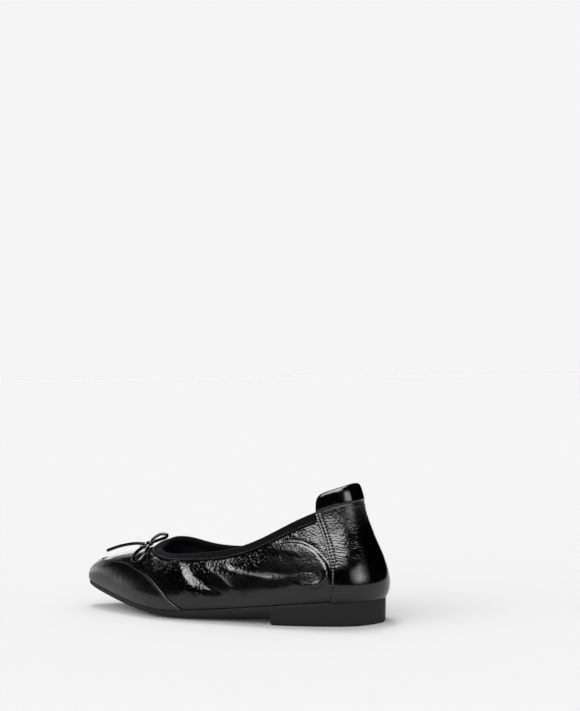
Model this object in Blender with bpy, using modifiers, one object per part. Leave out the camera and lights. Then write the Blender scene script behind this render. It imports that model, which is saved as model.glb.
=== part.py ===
"""A left ballet flat of crinkled patent leather, standing empty on its moulded sole.

The shoe is worked out in its own sizes, in millimetres: `along` runs from the back of the sole to the toe
tip, `across` runs from the long axis to the outer (lateral) side, and `height` runs up from the floor. In
the scene the toe points to -X, the outer side faces -Y and the origin is the middle of the heel's floor
face.

The upper is one surface. Nineteen ribs stand round the sole's edge, each a curve from the edge of the sole
(climb 0) up to the edge of the opening (climb 1), and a smooth closed curve through the table of ribs gives
every rib between them. The toe cap, the counter and the binding are cut from that same surface.
"""

import math
from collections import namedtuple

import bmesh
import bpy
import numpy as np

# Driving dimensions in millimetres
MM = 0.001
LENGTH = 240.0
BALL_WIDTH = 77.0
BACK_HEIGHT = 84.5
HEEL_CENTRE = 30.0
HEEL_LENGTH = 68.5

# The line along which upper and sole meet
HEEL_SEAT = 17.1
BALL_SEAT = 6.4
TOE_SEAT = 20.0
HEEL_FLAT_END = 8.0
BALL_ALONG = 158.0
TOE_CURL = 1.42

# The moulded sole
SOLE_LIP = 0.9
SOLE_WALL = 4.2
WAIST_LIFT = 4.4
TREAD_START = 126.0
TREAD_END = 156.0
TOE_FLOOR = 15.8
BREAST_UNDERCUT = 8.0
TREAD_UNDERCUT = 12.0
HEEL_TAPER = 1.2
HEEL_EDGE = 0.9
WALL_DRAFT = 0.3
BEVEL_BREAK = 0.45
LEAST_WALL = 0.4
NARROW_SHARE = 0.9

# Thicknesses and clearances
WALL = 1.6
OVERLAY = 1.0
TAPE = 0.9
TAPE_WIDTH = 6.3
INSOLE = 2.2
INSOLE_GAP = 1.2
CLEAR = 0.3
HALF_GAP = CLEAR / 2.0
OVERLAY_GAP = 0.45

Rib = namedtuple("Rib", "name along across top_along top_across top_height swell rise reach fall")

# Shares of LENGTH, BALL_WIDTH and BACK_HEIGHT for the foot and the top of each rib, then its fullness in
# millimetres: how far it swells out and rises at the sole, how far it reaches out and falls at the top.
RIBS = [
    Rib("heel_back", 0.005, -0.052, 0.071, -0.065, 1.000, 10.0, 16.0, 2.5, 25.0),
    Rib("heel_corner_lateral", 0.040, 0.221, 0.098, 0.123, 0.980, 10.0, 16.0, 4.0, 25.0),
    Rib("heel_side_lateral", 0.125, 0.370, 0.171, 0.214, 0.907, 10.0, 16.0, 8.0, 24.0),
    Rib("breast_lateral", 0.283, 0.484, 0.263, 0.279, 0.788, 8.0, 15.0, 8.0, 20.0),
    Rib("waist_lateral", 0.450, 0.494, 0.400, 0.325, 0.611, 7.0, 13.0, 9.0, 14.0),
    Rib("ball_lateral", 0.604, 0.513, 0.554, 0.318, 0.533, 6.0, 12.0, 11.0, 9.0),
    Rib("forepart_lateral", 0.754, 0.396, 0.658, 0.240, 0.508, 6.0, 11.0, 15.0, 7.0),
    Rib("toe_side_lateral", 0.879, 0.225, 0.710, 0.130, 0.516, 4.5, 10.5, 24.0, 5.0),
    Rib("toe_corner_lateral", 0.971, 0.084, 0.733, 0.052, 0.524, 3.0, 11.5, 33.0, 3.0),
    Rib("toe_tip", 0.998, -0.013, 0.740, -0.026, 0.540, 2.5, 12.0, 37.0, 2.0),
    Rib("toe_corner_medial", 0.967, -0.117, 0.740, -0.110, 0.566, 3.0, 12.0, 33.0, 4.0),
    Rib("toe_side_medial", 0.879, -0.273, 0.727, -0.208, 0.602, 4.5, 12.0, 24.0, 8.0),
    Rib("forepart_medial", 0.779, -0.416, 0.679, -0.299, 0.592, 6.0, 12.5, 15.0, 10.0),
    Rib("ball_medial", 0.667, -0.481, 0.588, -0.338, 0.537, 7.0, 13.0, 9.0, 11.0),
    Rib("waist_medial", 0.517, -0.357, 0.450, -0.338, 0.544, 9.0, 13.0, 6.0, 13.0),
    Rib("arch_medial", 0.392, -0.286, 0.342, -0.338, 0.633, 11.0, 15.0, 3.0, 17.0),
    Rib("breast_medial", 0.267, -0.312, 0.258, -0.338, 0.757, 11.0, 16.0, 2.0, 20.0),
    Rib("heel_side_medial", 0.133, -0.396, 0.171, -0.331, 0.907, 9.0, 16.0, 2.0, 24.0),
    Rib("heel_corner_medial", 0.040, -0.312, 0.098, -0.253, 0.980, 10.0, 16.0, 3.0, 25.0),
]
RIB_COUNT = len(RIBS)
TOE_TIP = 9

# The counter's side seam: how many ribs it stands from the heel back, at a share of the climb
CounterSeam = namedtuple("CounterSeam", "climb ribs_off")
COUNTER_SEAM = [
    CounterSeam(0.00, 1.88),
    CounterSeam(0.25, 1.82),
    CounterSeam(0.50, 1.73),
    CounterSeam(0.75, 1.81),
    CounterSeam(1.00, 2.05),
]

# The toe cap's seam: the share of the climb that it reaches, at a count of ribs from the toe tip
CapSeam = namedtuple("CapSeam", "ribs_off climb")
CAP_SEAM = [
    CapSeam(0.00, 0.41),
    CapSeam(0.70, 0.47),
    CapSeam(1.20, 0.59),
    CapSeam(1.70, 0.64),
    CapSeam(2.25, 0.62),
    CapSeam(2.75, 0.59),
    CapSeam(3.10, 0.53),
    CapSeam(3.65, 0.34),
    CapSeam(3.95, 0.16),
    CapSeam(4.12, 0.07),
]

# The heel tab: a padded strip standing on the back edge, as far as this many ribs to either side
TAB_END = 2.04
TAB_HEIGHT = 12.4
TAB_THICK = 6.0
TAB_LEAN = 0.30
TAB_GAIN = 0.08
TAB_ROUND = 0.55
TAB_SQUARENESS = 24
TAB_SOFTNESS = 0.6

# The binding starts this many ribs from the heel back
TAPE_END = 2.14

# The bow of narrow lace at the throat: along, across, height of the knot and of each route's points
LACE = 2.2
KNOT_SIZE = 6.0
KNOT_FLATNESS = 0.85
LACE_STEP = 1.5
KNOT = (188.0, -1.0, 48.0)
BOW_ROUTES = {
    "bow_loop_lateral": [
        (190.0, 2.7, 46.4),
        (190.9, 6.5, 45.1),
        (191.2, 12.3, 43.3),
        (190.9, 17.2, 41.0),
        (189.3, 20.8, 38.5),
        (186.3, 22.2, 37.6),
        (183.5, 21.6, 38.5),
        (182.3, 18.5, 41.0),
        (182.7, 13.5, 43.8),
        (184.6, 8.0, 45.9),
        (186.8, 2.8, 46.9),
    ],
    "bow_loop_medial": [
        (190.0, -4.7, 46.8),
        (191.2, -10.0, 49.2),
        (190.4, -15.5, 51.9),
        (188.0, -20.0, 53.2),
        (185.0, -21.2, 52.6),
        (183.4, -18.8, 51.4),
        (184.2, -13.5, 50.4),
        (185.6, -8.5, 49.6),
        (186.9, -4.4, 48.8),
    ],
    "bow_end_lateral": [
        (191.5, 0.7, 48.0),
        (198.0, 1.2, 48.0),
        (206.0, 1.6, 46.9),
        (214.5, 2.0, 44.8),
        (223.2, 2.5, 41.7),
    ],
    "bow_end_medial": [
        (191.5, -2.4, 46.4),
        (196.0, -7.3, 46.2),
        (201.0, -13.0, 45.1),
        (205.5, -18.0, 42.9),
        (208.5, -21.4, 39.6),
        (211.0, -24.4, 35.6),
    ],
}

# Overlays start this share of the climb above the sole
OVERLAY_FOOT = 0.02

# How finely the pieces are cut into facets
EDGE_SAMPLES = 400
SOLE_SECTIONS = 41
INSOLE_SECTIONS = 27
STEPS_PER_RIB = 4
CLIMB_STEPS = 13
CAP_ROWS = 35
CAP_STEPS = 8
COUNTER_ROWS = 17
TAPE_ROWS = 61
TAB_SECTIONS = 25
TAB_POINTS = 12
SHARP_ANGLE = 40.0


def smooth_bends(table):
    """The second differences of the smooth closed curve through the rows of a table."""
    count = len(table)
    links = 4.0 * np.eye(count) + np.roll(np.eye(count), 1, 0) + np.roll(np.eye(count), -1, 0)
    turns = np.roll(table, -1, 0) - 2.0 * table + np.roll(table, 1, 0)
    return np.linalg.solve(links, 6.0 * turns)


RIB_TABLE = np.array([rib[1:] for rib in RIBS])
RIB_BENDS = smooth_bends(RIB_TABLE)


def rib_at(place):
    """The rib at any place round the shoe, counted in ribs from the heel back by way of the outer side."""
    low = math.floor(place)
    part = place - low
    rest = 1.0 - part
    here = low % RIB_COUNT
    there = (low + 1) % RIB_COUNT
    straight = rest * RIB_TABLE[here] + part * RIB_TABLE[there]
    bend_here = (rest**3 - rest) * RIB_BENDS[here] / 6.0
    bend_there = (part**3 - part) * RIB_BENDS[there] / 6.0
    return Rib("between", *(straight + bend_here + bend_there))


def seat_height(along):
    """The height of the line where upper and sole meet: level heel, fall to the ball, toe spring."""
    fall = min(max((along - HEEL_FLAT_END) / (BALL_ALONG - HEEL_FLAT_END), 0.0), 1.0)
    spring = max((along - BALL_ALONG) / (LENGTH - BALL_ALONG), 0.0)
    heel_part = HEEL_SEAT + (BALL_SEAT - HEEL_SEAT) * fall * fall * (3.0 - 2.0 * fall)
    return heel_part + (TOE_SEAT - BALL_SEAT) * spring**TOE_CURL


def rib_foot(place):
    """The point of the sole's edge where a rib starts."""
    rib = rib_at(place)
    along = rib.along * LENGTH
    return np.array([along, rib.across * BALL_WIDTH, seat_height(along)])


def rib_top(place):
    """The point of the opening's edge where a rib ends."""
    rib = rib_at(place)
    return np.array([rib.top_along * LENGTH, rib.top_across * BALL_WIDTH, rib.top_height * BACK_HEIGHT])


def outward(edge, place, step=0.01):
    """The level direction that points out of the shoe, square to an edge."""
    run = edge(place + step) - edge(place - step)
    way = np.array([-run[1], run[0], 0.0])
    return way / np.linalg.norm(way)


def skin_point(place, climb):
    """A point of the upper's outer surface: a cubic curve from the sole's edge to the opening's edge."""
    rib = rib_at(place)
    up = np.array([0.0, 0.0, 1.0])
    foot = rib_foot(place) + CLEAR * up
    top = rib_top(place)
    low_handle = foot + rib.swell * outward(rib_foot, place) + rib.rise * up
    high_handle = top + rib.reach * outward(rib_top, place) - rib.fall * up
    rest = 1.0 - climb
    low_part = rest**3 * foot + 3.0 * rest**2 * climb * low_handle
    return low_part + 3.0 * rest * climb**2 * high_handle + climb**3 * top


def skin_normal(place, climb, step=0.01):
    """The direction square to the upper's outer surface, pointing out."""
    round_way = skin_point(place + step, climb) - skin_point(place - step, climb)
    up_way = skin_point(place, min(climb + step, 1.0)) - skin_point(place, max(climb - step, 0.0))
    way = np.cross(up_way, round_way)
    return way / np.linalg.norm(way)


def skin(place, climb, lift=0.0):
    """A point that stands `lift` off the upper's outer surface, or inside it when negative."""
    return skin_point(place, climb) + lift * skin_normal(place, climb)


def smooth_between(places, values, place):
    """The smooth curve through values that stand at rising places, read at any place between them."""
    places = np.asarray(places, float)
    values = np.asarray(values, float)
    slopes = np.gradient(values, places, axis=0)
    index = int(np.clip(np.searchsorted(places, place) - 1, 0, len(places) - 2))
    width = places[index + 1] - places[index]
    part = (place - places[index]) / width
    start = (1.0 + 2.0 * part) * (1.0 - part) ** 2 * values[index]
    end = part**2 * (3.0 - 2.0 * part) * values[index + 1]
    leave = part * (1.0 - part) ** 2 * width * slopes[index]
    arrive = part**2 * (part - 1.0) * width * slopes[index + 1]
    return start + end + leave + arrive


def spread(start, end, count):
    """Evenly spaced numbers from start to end, both included."""
    return [start + (end - start) * index / (count - 1) for index in range(count)]


def to_scene(point):
    """A shoe point in millimetres as a scene point in metres."""
    return ((HEEL_CENTRE - point[0]) * MM, -point[1] * MM, point[2] * MM)


def clear_scene():
    """Take away whatever the file holds."""
    for item in list(bpy.data.objects):
        bpy.data.objects.remove(item, do_unlink=True)


def make_collection(name):
    """A collection that holds the shoe's pieces."""
    collection = bpy.data.collections.new(name)
    bpy.context.scene.collection.children.link(collection)
    return collection


def make_material(name, colour, roughness):
    """A plain Principled material."""
    material = bpy.data.materials.new(name)
    material.use_nodes = True
    shader = material.node_tree.nodes["Principled BSDF"]
    shader.inputs["Base Color"].default_value = (*colour, 1.0)
    shader.inputs["Roughness"].default_value = roughness
    shader.inputs["Metallic"].default_value = 0.0
    material.diffuse_color = (*colour, 1.0)
    return material


def add_mesh(name, bm, material, collection):
    """Turn a bmesh into a smooth-shaded object of the shoe."""
    mesh = bpy.data.meshes.new(name)
    bm.to_mesh(mesh)
    bm.free()
    mesh.materials.append(material)
    mesh.shade_smooth()
    mesh.set_sharp_from_angle(angle=math.radians(SHARP_ANGLE))
    piece = bpy.data.objects.new(name, mesh)
    collection.objects.link(piece)
    return piece


def lay_grid(bm, rows, ring):
    """Vertices and faces between neighbouring rows of points; `ring` joins the last row to the first."""
    lines = [[bm.verts.new(to_scene(point)) for point in row] for row in rows]
    pairs = list(zip(lines, lines[1:]))
    if ring:
        pairs.append((lines[-1], lines[0]))
    for here, there in pairs:
        for index in range(len(here) - 1):
            bm.faces.new((here[index], here[index + 1], there[index + 1], there[index]))


def add_shell(name, rows, thickness, grows_out, material, collection, ring=False):
    """A sheet of leather or tape: rows of outer points, thickened out or in."""
    bm = bmesh.new()
    lay_grid(bm, rows, ring)
    piece = add_mesh(name, bm, material, collection)
    solidify = piece.modifiers.new("thickness", "SOLIDIFY")
    solidify.thickness = thickness * MM
    solidify.offset = 1.0 if grows_out else -1.0
    solidify.use_even_offset = True
    solidify.use_quality_normals = True
    return piece


def add_loft(name, sections, material, collection):
    """A closed solid through closed sections of equal point count, with flat ends."""
    bm = bmesh.new()
    loops = [[bm.verts.new(to_scene(point)) for point in section] for section in sections]
    size = len(loops[0])
    for here, there in zip(loops, loops[1:]):
        for index in range(size):
            after = (index + 1) % size
            bm.faces.new((here[index], here[after], there[after], there[index]))
    bm.faces.new(reversed(loops[0]))
    bm.faces.new(loops[-1])
    bmesh.ops.recalc_face_normals(bm, faces=bm.faces)
    return add_mesh(name, bm, material, collection)


def sole_sides(lip):
    """Dense tables of the sole's edge, outer and inner side, moved out by a lip."""
    tables = []
    for start, end in ((0.0, TOE_TIP), (RIB_COUNT, TOE_TIP)):
        places = spread(start, end, EDGE_SAMPLES)
        tables.append(np.array([rib_foot(place) + lip * outward(rib_foot, place) for place in places]))
    return tables


def width_at(table, along):
    """The offset of the sole's edge from the long axis at a distance along it."""
    return float(np.interp(along, table[:, 0], table[:, 1]))


def plate_stations(start, end, count):
    """Distances along the shoe, crowded towards both round ends."""
    return [start + (end - start) * (1.0 - math.cos(turn)) / 2.0 for turn in spread(0.0, math.pi, count)]


def floor_height(along):
    """The height of the sole's underside: waist, flat tread, toe spring."""
    waist = min(max((TREAD_START - along) / (TREAD_START - HEEL_LENGTH), 0.0), 1.0)
    spring = max((along - TREAD_END) / (LENGTH - TREAD_END), 0.0)
    return WAIST_LIFT * waist * waist * (3.0 - 2.0 * waist) + TOE_FLOOR * spring**TOE_CURL


def sole_half_section(along, edge, inward, under_heel):
    """One side of a section of the sole, from its top edge down to the floor side."""
    top = seat_height(along)
    if under_heel:
        steps = [(0.0, top), (WALL_DRAFT, top - SOLE_WALL), (HEEL_TAPER, HEEL_EDGE)]
        steps.append((HEEL_TAPER + HEEL_EDGE, 0.0))
    else:
        share = min(max((along - HEEL_LENGTH) / (TREAD_START - HEEL_LENGTH), 0.0), 1.0)
        undercut = BREAST_UNDERCUT + (TREAD_UNDERCUT - BREAST_UNDERCUT) * share
        floor = floor_height(along)
        wall_foot = max(top - SOLE_WALL, floor + LEAST_WALL)
        bevel = (undercut * BEVEL_BREAK, (wall_foot + 2.0 * floor) / 3.0)
        steps = [(0.0, top), (WALL_DRAFT, wall_foot), bevel, (undercut, floor)]
    narrow = NARROW_SHARE * abs(edge)
    return [(along, edge + inward * min(inset, narrow), height) for inset, height in steps]


def build_outsole(material, collection):
    """The moulded sole with its low heel: sections across the shoe from the back to the toe."""
    lateral, medial = sole_sides(SOLE_LIP)
    first = lateral[0, 0] + HALF_GAP
    last = lateral[-1, 0] - HALF_GAP
    stations = plate_stations(first, last, SOLE_SECTIONS)
    breast = HEEL_LENGTH - CLEAR
    heel_stations = [along for along in stations if along < breast - 1.0] + [breast]
    fore_stations = [HEEL_LENGTH] + [along for along in stations if along > HEEL_LENGTH + 1.0]
    sections = []
    for along in heel_stations + fore_stations:
        under_heel = along < HEEL_LENGTH
        middle = (width_at(lateral, along) + width_at(medial, along)) / 2.0
        outer = sole_half_section(along, width_at(lateral, along) - middle, -1.0, under_heel)
        inner = sole_half_section(along, width_at(medial, along) - middle, 1.0, under_heel)
        loop = outer + inner[::-1]
        sections.append([(along, across + middle, height) for along, across, height in loop])
    return add_loft("outsole", sections, material, collection)


def build_insole(material, collection):
    """The insole: a plate just inside the wall, lying on the sole."""
    lateral, medial = sole_sides(-WALL - INSOLE_GAP)
    blunt = INSOLE_GAP / 2.0
    sections = []
    for along in plate_stations(lateral[0, 0] + blunt, lateral[-1, 0] - blunt, INSOLE_SECTIONS):
        low = seat_height(along) + CLEAR
        outer = width_at(lateral, along)
        inner = width_at(medial, along)
        loop = [(along, outer, low + INSOLE), (along, outer, low), (along, inner, low)]
        loop.append((along, inner, low + INSOLE))
        sections.append(loop)
    return add_loft("insole", sections, material, collection)


def build_upper(material, collection):
    """Vamp and quarters in one wall, open at the top and underneath."""
    places = spread(0.0, RIB_COUNT, RIB_COUNT * STEPS_PER_RIB + 1)[:-1]
    rows = [[skin(place, climb) for climb in spread(0.0, 1.0, CLIMB_STEPS)] for place in places]
    return add_shell("upper", rows, WALL, False, material, collection, ring=True)


def cap_climb(place):
    """How far up its rib the toe cap reaches."""
    offs = [row.ribs_off for row in CAP_SEAM]
    climbs = [row.climb for row in CAP_SEAM]
    return float(smooth_between(offs, climbs, abs(place - TOE_TIP)))


def build_toe_cap(material, collection):
    """The overlay round the toe, cut from the upper's surface along its seam."""
    half = CAP_SEAM[-1].ribs_off
    rows = []
    for place in spread(TOE_TIP - half, TOE_TIP + half, CAP_ROWS):
        climbs = spread(OVERLAY_FOOT, cap_climb(place), CAP_STEPS)
        rows.append([skin(place, climb, OVERLAY_GAP) for climb in climbs])
    return add_shell("toe_cap", rows, OVERLAY, True, material, collection)


def counter_place(climb):
    """How many ribs from the heel back the counter's side seam stands, at a share of the climb."""
    climbs = [row.climb for row in COUNTER_SEAM]
    offs = [row.ribs_off for row in COUNTER_SEAM]
    return float(smooth_between(climbs, offs, climb))


def build_heel_counter(material, collection):
    """The overlay round the back, between the two side seams."""
    rows = []
    for share in spread(-1.0, 1.0, COUNTER_ROWS):
        climbs = spread(OVERLAY_FOOT, 1.0, CLIMB_STEPS)
        rows.append([skin(share * counter_place(climb), climb, OVERLAY_GAP) for climb in climbs])
    return add_shell("heel_counter", rows, OVERLAY, True, material, collection)


def build_binding(material, collection):
    """The elastic tape folded over the edge of the opening, from one end of the tab to the other."""
    rows = []
    for place in spread(TAPE_END, RIB_COUNT - TAPE_END, TAPE_ROWS):
        span = np.linalg.norm(skin_point(place, 1.0) - skin_point(place, 0.9)) / 0.1
        low = 1.0 - TAPE_WIDTH / span
        top = skin_point(place, 1.0)
        normal = skin_normal(place, 1.0)
        rise = top - skin_point(place, 0.98)
        rise = rise / np.linalg.norm(rise)
        outer_leg = [skin(place, low, CLEAR), skin(place, (low + 1.0) / 2.0, CLEAR), top + CLEAR * normal]
        inner_gap = -WALL - CLEAR
        crown = top + CLEAR * rise
        fold = [crown, crown + inner_gap * normal]
        inner_leg = [skin(place, (low + 1.0) / 2.0, inner_gap), skin(place, low, inner_gap)]
        rows.append(outer_leg + fold + inner_leg)
    return add_shell("topline_binding", rows, TAPE, True, material, collection)


def soft_square(wave):
    """A sine or cosine pushed towards its ends, which turns a round section into a soft square."""
    return math.copysign(abs(wave) ** TAB_SOFTNESS, wave)


def build_heel_tab(material, collection):
    """The padded strip on the back edge: upright soft sections along the edge, lower at both ends."""
    sections = []
    for sweep in spread(-math.pi / 2.0, math.pi / 2.0, TAB_SECTIONS):
        share = math.sin(sweep)
        place = share * TAB_END
        out = outward(rib_top, place)
        rise = np.array([0.0, 0.0, 1.0]) - TAB_LEAN * out
        corner = math.sqrt(1.0 - TAB_ROUND * abs(share) ** TAB_SQUARENESS)
        height = TAB_HEIGHT * (1.0 + TAB_GAIN * share**2) * corner
        foot = skin_point(place, 1.0) + rise * (CLEAR + HALF_GAP) - out * WALL / 2.0
        loop = []
        for step in range(TAB_POINTS):
            turn = 2.0 * math.pi * (step + 0.5) / TAB_POINTS
            sideways = soft_square(math.cos(turn)) * TAB_THICK / 2.0
            upright = (1.0 + soft_square(math.sin(turn))) * height / 2.0
            loop.append(foot + sideways * out + upright * rise)
        sections.append(loop)
    return add_loft("heel_tab", sections, material, collection)


def build_bow(material, collection):
    """The bow: a knot, and tubes of lace along the two loops and the two ends."""
    knot = bmesh.new()
    bmesh.ops.create_uvsphere(knot, u_segments=12, v_segments=8, radius=KNOT_SIZE * MM / 2.0)
    bmesh.ops.scale(knot, vec=(1.0, 1.0, KNOT_FLATNESS), verts=knot.verts)
    bmesh.ops.translate(knot, vec=to_scene(KNOT), verts=knot.verts)
    add_mesh("bow_knot", knot, material, collection)
    for name, route in BOW_ROUTES.items():
        add_lace(name, route, material, collection)


def add_lace(name, route, material, collection):
    """A tube of lace along a smooth curve through a route's points."""
    points = np.array(route)
    steps = np.linalg.norm(np.diff(points, axis=0), axis=1)
    lengths = np.concatenate(([0.0], np.cumsum(steps)))
    count = int(lengths[-1] / (LACE_STEP * LACE)) + 1
    curve = bpy.data.curves.new(name, "CURVE")
    curve.dimensions = "3D"
    curve.bevel_depth = LACE * MM / 2.0
    curve.bevel_resolution = 2
    curve.use_fill_caps = True
    curve.materials.append(material)
    spline = curve.splines.new("POLY")
    spline.points.add(count - 1)
    for target, length in zip(spline.points, spread(0.0, lengths[-1], count)):
        target.co = (*to_scene(smooth_between(lengths, points, length)), 1.0)
    lace = bpy.data.objects.new(name, curve)
    collection.objects.link(lace)
    return lace


def main():
    """Build the shoe."""
    clear_scene()
    shoe = make_collection("ballet_flat")
    patent = make_material("patent_leather", (0.006, 0.006, 0.006), 0.15)
    rubber = make_material("moulded_rubber", (0.022, 0.022, 0.021), 0.6)
    elastic = make_material("elastic_tape", (0.02, 0.02, 0.021), 0.85)
    lining = make_material("insole_lining", (0.015, 0.015, 0.015), 0.75)
    build_outsole(rubber, shoe)
    build_insole(lining, shoe)
    build_upper(patent, shoe)
    build_toe_cap(patent, shoe)
    build_heel_counter(patent, shoe)
    build_heel_tab(patent, shoe)
    build_binding(elastic, shoe)
    build_bow(patent, shoe)


main()
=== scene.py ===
# %% [markdown]
# # A ballet flat in crinkled black patent leather
#
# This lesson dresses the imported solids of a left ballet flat. The solids fix every size and place. The
# scene gives each piece its real surface: the crinkled, puffed leather of the quarters, the smooth toe cap,
# the stitched counter with its padded tab, the matt elastic tape round the opening, the little bow, the
# moulded sole, and a studio that a glossy black thing can reflect.

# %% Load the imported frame
import math
from collections import namedtuple

import bmesh
import bpy
import numpy as np
from mathutils import Matrix, Vector, noise


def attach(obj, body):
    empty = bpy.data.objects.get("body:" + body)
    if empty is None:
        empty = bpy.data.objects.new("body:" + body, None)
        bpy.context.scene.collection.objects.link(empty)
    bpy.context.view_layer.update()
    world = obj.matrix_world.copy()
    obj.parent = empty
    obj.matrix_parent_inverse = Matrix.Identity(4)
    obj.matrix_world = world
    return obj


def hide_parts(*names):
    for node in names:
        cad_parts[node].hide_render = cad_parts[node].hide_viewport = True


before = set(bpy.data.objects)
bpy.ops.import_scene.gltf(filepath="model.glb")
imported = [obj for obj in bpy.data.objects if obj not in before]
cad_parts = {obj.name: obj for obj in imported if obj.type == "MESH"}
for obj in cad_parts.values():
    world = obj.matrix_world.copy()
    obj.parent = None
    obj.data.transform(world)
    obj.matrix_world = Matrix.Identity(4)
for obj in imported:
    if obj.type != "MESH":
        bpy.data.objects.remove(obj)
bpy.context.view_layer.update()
print("loaded nodes:", sorted(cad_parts))

# %% [markdown]
# ## The shoe's own sizes
#
# A shoe is shaped over a last, so its upper is one flowing surface. The solids describe it with ribs:
# curves from the edge of the sole up to the edge of the opening, one row of a table each, with a smooth
# closed curve through the rows. The same table is used here, so that each piece of leather lies where its
# solid does. The other way would be to shrink-wrap new sheets onto the solids, but those are faceted and
# have no long smooth reflections. Sizes are in millimetres: along from heel to toe, across to the outer
# side, height from the floor.

# %% Sizes and ribs
MM = 0.001
LENGTH = 240.0
BALL_WIDTH = 77.0
BACK_HEIGHT = 84.5
HEEL_CENTRE = 30.0
HEEL_SEAT = 17.1
BALL_SEAT = 6.4
TOE_SEAT = 20.0
HEEL_FLAT_END = 8.0
BALL_ALONG = 158.0
TOE_CURL = 1.42
WALL = 1.6
OVERLAY = 1.0
OVERLAY_GAP = 0.45
TAPE = 0.9
TAPE_WIDTH = 6.3
CLEAR = 0.3
TOE_TIP = 9

# Columns: along, across, top along, top across, top height, as shares of the length, the ball's width and
# the back's height; then swell and rise at the sole, reach and fall at the top, in millimetres
RIB_TABLE = np.array([
    (0.005, -0.052, 0.071, -0.065, 1.000, 10.0, 16.0, 2.5, 25.0),
    (0.040, 0.221, 0.098, 0.123, 0.980, 10.0, 16.0, 4.0, 25.0),
    (0.125, 0.370, 0.171, 0.214, 0.907, 10.0, 16.0, 8.0, 24.0),
    (0.283, 0.484, 0.263, 0.279, 0.788, 8.0, 15.0, 8.0, 20.0),
    (0.450, 0.494, 0.400, 0.325, 0.611, 7.0, 13.0, 9.0, 14.0),
    (0.604, 0.513, 0.554, 0.318, 0.533, 6.0, 12.0, 11.0, 9.0),
    (0.754, 0.396, 0.658, 0.240, 0.508, 6.0, 11.0, 15.0, 7.0),
    (0.879, 0.225, 0.710, 0.130, 0.516, 4.5, 10.5, 24.0, 5.0),
    (0.971, 0.084, 0.733, 0.052, 0.524, 3.0, 11.5, 33.0, 3.0),
    (0.998, -0.013, 0.740, -0.026, 0.540, 2.5, 12.0, 37.0, 2.0),
    (0.967, -0.117, 0.740, -0.110, 0.566, 3.0, 12.0, 33.0, 4.0),
    (0.879, -0.273, 0.727, -0.208, 0.602, 4.5, 12.0, 24.0, 8.0),
    (0.779, -0.416, 0.679, -0.299, 0.592, 6.0, 12.5, 15.0, 10.0),
    (0.667, -0.481, 0.588, -0.338, 0.537, 7.0, 13.0, 9.0, 11.0),
    (0.517, -0.357, 0.450, -0.338, 0.544, 9.0, 13.0, 6.0, 13.0),
    (0.392, -0.286, 0.342, -0.338, 0.633, 11.0, 15.0, 3.0, 17.0),
    (0.267, -0.312, 0.258, -0.338, 0.757, 11.0, 16.0, 2.0, 20.0),
    (0.133, -0.396, 0.171, -0.331, 0.907, 9.0, 16.0, 2.0, 24.0),
    (0.040, -0.312, 0.098, -0.253, 0.980, 10.0, 16.0, 3.0, 25.0),
])
RIB_COUNT = len(RIB_TABLE)


def smooth_bends(table):
    """The second differences of the smooth closed curve through the rows of a table."""
    count = len(table)
    links = 4.0 * np.eye(count) + np.roll(np.eye(count), 1, 0) + np.roll(np.eye(count), -1, 0)
    turns = np.roll(table, -1, 0) - 2.0 * table + np.roll(table, 1, 0)
    return np.linalg.solve(links, 6.0 * turns)


RIB_BENDS = smooth_bends(RIB_TABLE)
print("ribs round the shoe:", RIB_COUNT)

# %% [markdown]
# ## The skin of the upper
#
# A place is counted in ribs from the heel back, by way of the outer side; a climb goes from 0 at the sole
# to 1 at the opening. These functions take whole arrays of places and climbs, because a mesh that is fine
# enough for soft creases has tens of thousands of points.

# %% The skin as a function of place and climb
UP = np.array([0.0, 0.0, 1.0])
NEAR = 0.01
DENSE_POINTS = 2000


def ribs_at(places):
    """The nine rib values at any places, first axis the value."""
    places = np.asarray(places, float)
    low = np.floor(places).astype(int)
    part = (places - low)[..., None]
    rest = 1.0 - part
    here = low % RIB_COUNT
    there = (low + 1) % RIB_COUNT
    straight = rest * RIB_TABLE[here] + part * RIB_TABLE[there]
    bends = (rest**3 - rest) * RIB_BENDS[here] + (part**3 - part) * RIB_BENDS[there]
    return np.moveaxis(straight + bends / 6.0, -1, 0)


def seat_height(along):
    """The height of the line where upper and sole meet."""
    fall = np.clip((along - HEEL_FLAT_END) / (BALL_ALONG - HEEL_FLAT_END), 0.0, 1.0)
    spring = np.maximum((along - BALL_ALONG) / (LENGTH - BALL_ALONG), 0.0)
    heel_part = HEEL_SEAT + (BALL_SEAT - HEEL_SEAT) * fall * fall * (3.0 - 2.0 * fall)
    return heel_part + (TOE_SEAT - BALL_SEAT) * spring**TOE_CURL


def foot_line(places):
    """Points of the sole's edge."""
    ribs = ribs_at(places)
    along = ribs[0] * LENGTH
    return np.stack([along, ribs[1] * BALL_WIDTH, seat_height(along)], -1)


def top_line(places):
    """Points of the opening's edge."""
    ribs = ribs_at(places)
    return np.stack([ribs[2] * LENGTH, ribs[3] * BALL_WIDTH, ribs[4] * BACK_HEIGHT], -1)


def outward(line, places):
    """The level directions that point out of the shoe, square to a line."""
    run = line(places + NEAR) - line(places - NEAR)
    way = np.stack([-run[..., 1], run[..., 0], np.zeros_like(run[..., 0])], -1)
    return way / np.linalg.norm(way, axis=-1, keepdims=True)


def skin_point(places, climbs):
    """Points of the upper's smooth outer surface."""
    places, climbs = np.broadcast_arrays(np.asarray(places, float), np.asarray(climbs, float))
    ribs = ribs_at(places)
    foot = foot_line(places) + CLEAR * UP
    top = top_line(places)
    low_handle = foot + ribs[5][..., None] * outward(foot_line, places) + ribs[6][..., None] * UP
    high_handle = top + ribs[7][..., None] * outward(top_line, places) - ribs[8][..., None] * UP
    share = climbs[..., None]
    rest = 1.0 - share
    low_part = rest**3 * foot + 3.0 * rest**2 * share * low_handle
    return low_part + 3.0 * rest * share**2 * high_handle + share**3 * top


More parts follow.
